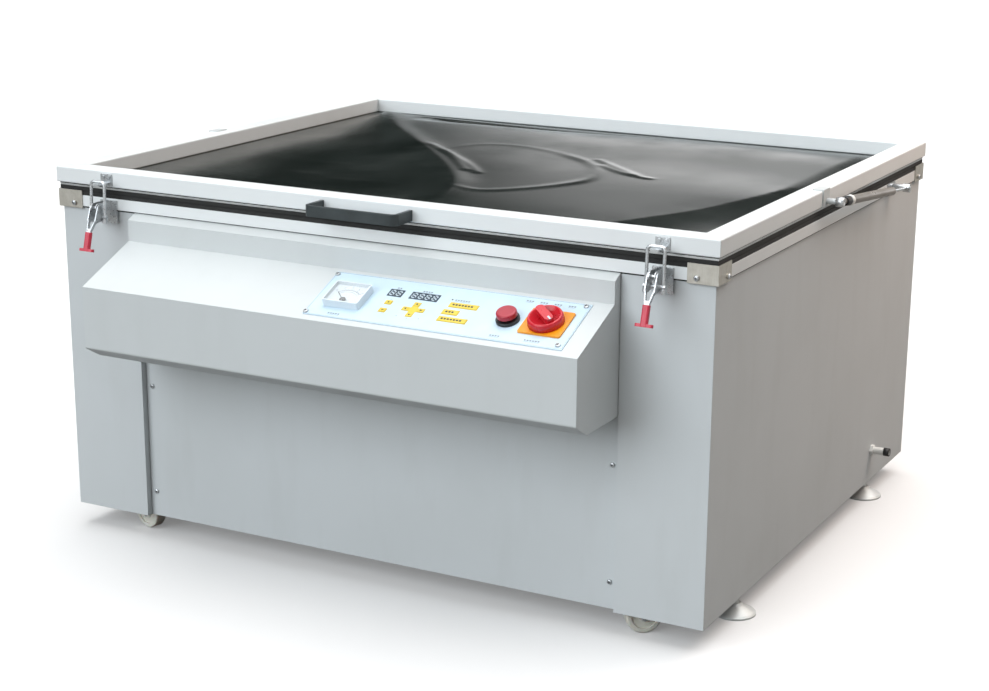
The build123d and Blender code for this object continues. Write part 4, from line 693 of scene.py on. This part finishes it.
# a closed profile of (along, radius) in mm, turned about each axis
def spunPiece(name, axes, profile, finish, body, turns=28):
    points, faces = [], []
    rows = len(profile)
    for start, way in axes:
        way = way.normalized()
        across = way.orthogonal().normalized()
        other = way.cross(across)
        first = len(points)
        for along, r in profile:
            for k in range(turns):
                t = 2 * math.pi * k / turns
                points.append(start + (way * along + (across * math.cos(t) + other * math.sin(t)) * r) * mm)
        for j in range(rows):
            m = (j + 1) % rows
            for k in range(turns):
                n = (k + 1) % turns
                faces.append(tuple(first + v for v in (j * turns + k, j * turns + n, m * turns + n, m * turns + k)))
    return meshPiece(name, points, faces, finish, body, True)


isolator = {
    "middle": (379.0, 69.0),  # mm along and down the slope
    "foot": 5.0,  # mm off the slope, where the knob starts
    "rim": ((-14, 1), (-14, 5), (0, 5), (0, 29), (9, 28.2), (12.2, 27), (13, 25.4), (12.4, 23.6), (9, 22.6), (9, 1)),
    "grip": (8.5, 18.5, 45.0, 14.0),  # from and to above the foot, then how long and how wide
    "turn": -40.0,  # degrees, how the grip stands at rest
    "mark": (22.0, 9.0, 3.0, 0.3),  # mm from the middle to its end, then how long, wide and thick
}
iu, iv = isolator["middle"]
foot = isolator["foot"]


def alongGrip(s, t):  # a place on the switch's grip, s along it and t across
    turn = math.radians(isolator["turn"])
    return (iu + s * math.cos(turn) - t * math.sin(turn), iv - s * math.sin(turn) - t * math.cos(turn))


tip, markLong, markWide, markThick = isolator["mark"]
side = markWide / 2
corners = ((tip - markLong, -side), (tip, -side), (tip, side), (tip - markLong, side))
gripLow, gripHigh, gripLong, gripWide = isolator["grip"]
ends = [math.radians(-90 + 15 * k) for k in range(13)]
oval = [(gripLong / 2 - gripWide / 2 + math.cos(t) * gripWide / 2, math.sin(t) * gripWide / 2) for t in ends]
oval += [(-s, -t) for s, t in oval]
knobPiece = spunPiece("switchKnob", [(onSlope(iu, iv, foot), offSlope)], isolator["rim"], skin["mouldedRedAbs"],
                      "knob", 48)
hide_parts("isolator_knob")
raisedShapes("switchGrip", [[alongGrip(s, t) for s, t in oval]], foot + gripLow, gripHigh - gripLow,
             skin["mouldedRedAbs"], "knob")
raisedShapes("switchMark", [[alongGrip(s, t) for s, t in corners]], foot + gripHigh, markThick,
             skin["castEpoxySegment"], "knob")

boxFaces = ((3, 2, 1, 0), (4, 5, 6, 7), (0, 1, 5, 4), (1, 2, 6, 5), (2, 3, 7, 6), (3, 0, 4, 7))
upright = Vector((0, 0, 1))


# painted shade: a near-black cross of the print ink in each screw's head, standing for the shade in its cross recess;
# each head is a centre, an across and an up vector
def recessShadeCross(name, heads, size, body):
    points, faces = [], []
    for centre, across, up in heads:
        off = across.cross(up)
        for a, b in ((size, size * 0.3), (size * 0.3, size)):
            first = len(points)
            for h in (-0.1, 0.12):
                points += [centre + (across * sa * a + up * sb * b + off * h) * mm
                           for sa, sb in ((-1, -1), (1, -1), (1, 1), (-1, 1))]
            faces += [tuple(first + k for k in f) for f in boxFaces]
    return meshPiece(name, points, faces, ink, body)


screws = {
    "plate": ((-24.0, 17.0), (422.0, 16.0), (420.0, 116.0), (-25.0, 120.0)),  # along and down the slope
    "panel": (450.0, (86.0, 283.0)),  # mm to each side of the middle, and the two heights
    "panelBack": 12.0,  # mm behind the cabinet's front
    "bracket": (37.2, 603.0),  # mm in from the bracket's outer face, and how high
    "dome": 2.7,  # mm, with each screw's own head inside it
    "radius": 4.4,
    "recessShade": 2.1,  # mm, half the length of the painted shade cross in it
}
heads = [(onSlope(u, v, console["plateThick"]), Vector((1, 0, 0)), -downSlope) for u, v in screws["plate"]]
frontY = midY - cabinetHalf[1] * mm
for sx in (-1, 1):
    for z in screws["panel"][1]:
        place = Vector((sx * screws["panel"][0] * mm, frontY + screws["panelBack"] * mm, z * mm))
        heads.append((place, Vector((1, 0, 0)), upright))
bracketLow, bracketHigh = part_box("corner_brackets")
bracketIn, bracketZ = (v * mm for v in screws["bracket"])
for sx, edgeX in ((-1, bracketLow.x), (1, bracketHigh.x)):
    for sy, edgeY in ((-1, bracketLow.y), (1, bracketHigh.y)):
        heads.append((Vector((edgeX - sx * bracketIn, edgeY, bracketZ)), Vector((-sy, 0, 0)), upright))
        heads.append((Vector((edgeX, edgeY - sy * bracketIn, bracketZ)), Vector((0, sx, 0)), upright))
high, r = screws["dome"], screws["radius"]
dome = ((-0.2, 0.3), (-0.2, r), (high * 0.35, r), (high * 0.8, r * 0.8), (high, r * 0.45), (high, 0.3))
axes = [(centre, across.cross(up)) for centre, across, up in heads]
spunPiece("screwDomes", axes, dome, metal["zincPlatedSteel"], "cabinet", 20)
tops = [(centre + across.cross(up) * high * mm, across, up) for centre, across, up in heads]
# painted shade: dark crosses on the domes for the shade in their recesses
recessShadeCross("screwRecessShade", tops, screws["recessShade"], "cabinet")

# a black hose end pushed over the exhaust stub: mm along from the stub's end, and radius
sleeveProfile = ((-10, 7), (-10, 7.8), (0.6, 7.8), (0.6, 4.6), (0.1, 4.6), (0.1, 7))
stubLow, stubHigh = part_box("exhaust_stub")
stubEnd = Vector((stubHigh.x, (stubLow.y + stubHigh.y) / 2, (stubLow.z + stubHigh.z) / 2))
spunPiece("exhaustHoseEnd", [(stubEnd, Vector((1, 0, 0)))], sleeveProfile, skin["mouldedBlackNylon"],
          "cabinet")

strut = {
    "x": 650.0,  # mm to each side of the middle
    "base": (328.0, 609.0),  # mm behind the middle, and how high: the pin on the cabinet
    "stud": (-55.0, 646.0),  # and the stud on the lid
    # mm from the stud, and radius: a white collar and a black socket on the tube, and a cap over the eye
    "collar": ((44, 5.3), (44, 8.6), (45, 9.2), (55, 9.2), (56, 8.6), (56, 5.3)),
    "socket": ((22, 5.3), (22, 7.2), (24, 8.2), (42, 8.6), (44, 8.0), (44, 5.3)),
    "cap": ((-6.4, 5.4), (-6.4, 8.4), (6.0, 8.4), (6.9, 7.4), (6.9, 0.4), (6.2, 0.4), (6.2, 8.1), (-6.2, 8.1),
            (-6.2, 5.4)),
}
for sx, tag in ((-1, "left"), (1, "right")):
    stud, base = (Vector((sx * strut["x"] * mm, midY + strut[end][0] * mm, strut[end][1] * mm))
                  for end in ("stud", "base"))
    tube, body = [(stud, base - stud)], f"strut_cylinder_{tag}"
    spunPiece(f"strutCollar_{tag}", tube, strut["collar"], skin["turnedWhiteNylon"], body)
    spunPiece(f"strutSocket_{tag}", tube, strut["socket"], skin["mouldedBlackNylon"], body)
    spunPiece(f"strutEyeCap_{tag}", [(stud, Vector((sx, 0, 0)))], strut["cap"], metal["zincPlatedSteel"],
              body)

bead = {
    "wide": 3.4,  # mm, dressed back with a grinder before painting
    "high": 0.55,
    "step": 1.6,  # mm between its ripples
    "ends": (3.0, 38.0),  # mm in from the lid's corner
    "rows": 5,  # points across it
}


# a rippled bead along each line from a to b on the lid's top
def weldBeads(name, lines, w, finish, body):
    points, faces = [], []
    rows = w["rows"]
    for a, b in lines:
        run = b - a
        side = run.cross(upright).normalized()
        steps = int(run.length / (w["step"] * mm))
        first = len(points)
        for k in range(steps + 1):
            swell = 1 + 0.18 * math.sin(k * 1.9) + 0.1 * math.sin(k * 0.63 + 1)
            for t in range(rows):
                lean = math.pi * t / (rows - 1)
                points.append(a + run * (k / steps) + side * (math.cos(lean) * w["wide"] / 2 * swell * mm)
                              + Vector((0, 0, (math.sin(lean) * w["high"] * swell - 0.1) * mm)))
        for k in range(steps):
            for t in range(rows):
                m, n = first + k * rows + t, first + k * rows + (t + 1) % rows
                faces.append((m, n, n + rows, m + rows))
        faces.append(tuple(first + t for t in reversed(range(rows))))
        faces.append(tuple(first + steps * rows + t for t in range(rows)))
    return meshPiece(name, points, faces, finish, body, True)


lines = []
for sx, cornerX in ((-1, lidLow.x), (1, lidHigh.x)):
    for sy, cornerY in ((-1, lidLow.y), (1, lidHigh.y)):
        lines.append([Vector((cornerX - sx * end * mm, cornerY - sy * end * mm, lidHigh.z)) for end in bead["ends"]])
weldBeads("lidWeldBeads", lines, bead, lidPaint, "lid")

seam = {"low": 594.7, "high": 597.3, "proud": 0.5, "deep": 2.0}  # mm, painted shade: a black strip in the groove under the rails, standing for the shade that falls there
points, faces = [], []
for sx, sy in ((-1, 0), (1, 0), (0, -1), (0, 1)):
    wall, run = cabinetHalf if sx else cabinetHalf[::-1]
    inner, outer, half = wall - seam["deep"], wall + seam["proud"], run + seam["proud"]
    first = len(points)
    for height in (seam["low"], seam["high"]):
        for out, along in ((inner, -half), (outer, -half), (outer, half), (inner, half)):
            x, y = (sx * out, along) if sx else (along, sy * out)
            points.append(Vector((x * mm, midY + y * mm, height * mm)))
    for f in boxFaces:
        faces.append(tuple(first + k for k in (reversed(f) if sy - sx > 0 else f)))
# painted shade: the black sponge rubber's colour stands for the shade in the gap under the rails
meshPiece("railGapShade", points, faces, skin["extrudedSpongeRubber"], "cabinet")

print("light and floor")
studio = {
    "sky": (0.32, "#FFFCF8"),  # strength and colour of the soft room light
    # two broad soft suns: a window at the front left, and the ceiling; soft is in degrees
    "key": {"from": (-0.36, -0.84, 0.42), "strength": 2.3, "soft": 50, "colour": "#F3FAFF"},
    "top": {"from": (0.10, 0.15, 1.0), "strength": 2.9, "soft": 70, "colour": "#FFFFFF"},
    # a lamp near the right back corner, in metres and watts
    "lamp": {"place": (1.5, 0.9, 1.4), "aim": (0.62, 0.4, 0.55), "size": 0.9, "power": 6.5, "colour": "#FFD2B0"},
    # what reflections see, along z, x and z: from, to, and the light's strength at each
    "room": {"wall": (0.15, 0.215, 1.3, 0.03), "right": (-0.51, -0.37, 0.0, 1.4), "lamps": (0.45, 0.75, 0.0, 1.2)},
    "paper": "#DADADA",
    "paperGlow": 0.18,  # seen by the camera alone, so that open paper is white and the shadow stays
    "mirror": "#8E8D8A",  # how dark the same paper is in the object's own reflections
    "bounce": "#514F4D",  # what the paper gives back to the object, as though it lay on a grey shop floor
}


def softSun(name, s):
    data = bpy.data.lights.new(name, "SUN")
    data.energy, data.angle = s["strength"], math.radians(s["soft"])
    data.color = linear(s["colour"])[:3]
    lamp = bpy.data.objects.new(name, data)
    lamp.rotation_euler = (-Vector(s["from"])).to_track_quat("-Z", "Y").to_euler()
    bpy.context.scene.collection.objects.link(lamp)


softSun("keyLight", studio["key"])
softSun("topLight", studio["top"])


def warmLamp(name, s):  # so that the right side fades from warm to grey
    data = bpy.data.lights.new(name, "AREA")
    data.shape, data.size, data.energy = "DISK", s["size"], s["power"]
    data.color = linear(s["colour"])[:3]
    lamp = bpy.data.objects.new(name, data)
    lamp.location = s["place"]
    lamp.rotation_euler = (Vector(s["aim"]) - Vector(s["place"])).to_track_quat("-Z", "Y").to_euler()
    lamp.visible_camera = False
    bpy.context.scene.collection.objects.link(lamp)


warmLamp("sideLamp", studio["lamp"])


# white to the camera; in reflections a bright low wall that ends at the left, a dark band over it, and lamps above
def paleRoom(s):
    world = bpy.data.worlds.new("paleRoom")
    bpy.context.scene.world = world
    world.use_nodes = True
    tree = world.node_tree
    tree.nodes.clear()
    rays = addNode(tree, "LightPath").outputs
    way = addNode(tree, "SeparateXYZ", None, {0: addNode(tree, "TexCoord").outputs["Generated"]}).outputs
    spans = {}
    for name, axis in (("wall", "Z"), ("right", "X"), ("lamps", "Z")):
        settings = dict(zip(("From Min", "From Max", "To Min", "To Max"), s["room"][name]))
        spans[name] = addNode(tree, "MapRange", settings, {"Value": way[axis]})
    wall = addNode(tree, "Math", {"operation": "MULTIPLY"}, {0: spans["wall"], 1: spans["right"]})
    both = addNode(tree, "Math", {"operation": "MAXIMUM"}, {0: wall, 1: spans["lamps"]})
    strength, colour = s["sky"]
    mirrored = addNode(tree, "Background", {"Color": (1, 1, 1, 1)}, {"Strength": both})
    soft = addNode(tree, "Background", {"Color": linear(colour), "Strength": strength})
    white = addNode(tree, "Background", {"Color": (1, 1, 1, 1), "Strength": 1.0})
    lit = addNode(tree, "MixShader", None, {0: rays["Is Glossy Ray"], 1: soft, 2: mirrored})
    clear = addNode(tree, "Math", {"operation": "MAXIMUM"}, {0: rays["Is Camera Ray"], 1: rays["Is Transmission Ray"]})
    seen = addNode(tree, "MixShader", None, {0: clear, 1: lit, 2: white})
    tree.links.new(seen.outputs[0], addNode(tree, "OutputWorld").inputs["Surface"])


paleRoom(studio)


def makeFloor(s, half=30.0):  # m from its middle to its edges
    data = bpy.data.meshes.new("paperFloor")
    data.from_pydata([(-half, -half, 0), (half, -half, 0), (half, half, 0), (-half, half, 0)], [], [(0, 1, 2, 3)])
    # uncoated paper on a roll: matt, even and nearly white
    made, tree, shader = startMaterial("seamlessStudioPaper", s["paper"], 0.95, {"Specular IOR Level": 0.1})
    rays = addNode(tree, "LightPath").outputs
    given = addNode(tree, "MixRGB", {"Color1": linear(s["bounce"]), "Color2": linear(s["mirror"])},
                    {"Fac": rays["Is Glossy Ray"]})
    colour = addNode(tree, "MixRGB", {"Color2": linear(s["paper"])}, {"Fac": rays["Is Camera Ray"], "Color1": given})
    glow = addNode(tree, "Math", {"operation": "MULTIPLY", 1: s["paperGlow"]}, {0: rays["Is Camera Ray"]})
    shader["Emission Color"].default_value = (1, 1, 1, 1)
    tree.links.new(glow.outputs[0], shader["Emission Strength"])
    tree.links.new(colour.outputs[0], shader["Base Color"])
    data.materials.append(made)
    floor = bpy.data.objects.new("paperFloor", data)
    bpy.context.scene.collection.objects.link(floor)


makeFloor(studio)

bpy.context.scene.view_settings.view_transform = "Standard"
bpy.context.view_layer.update()
print("scene finished")
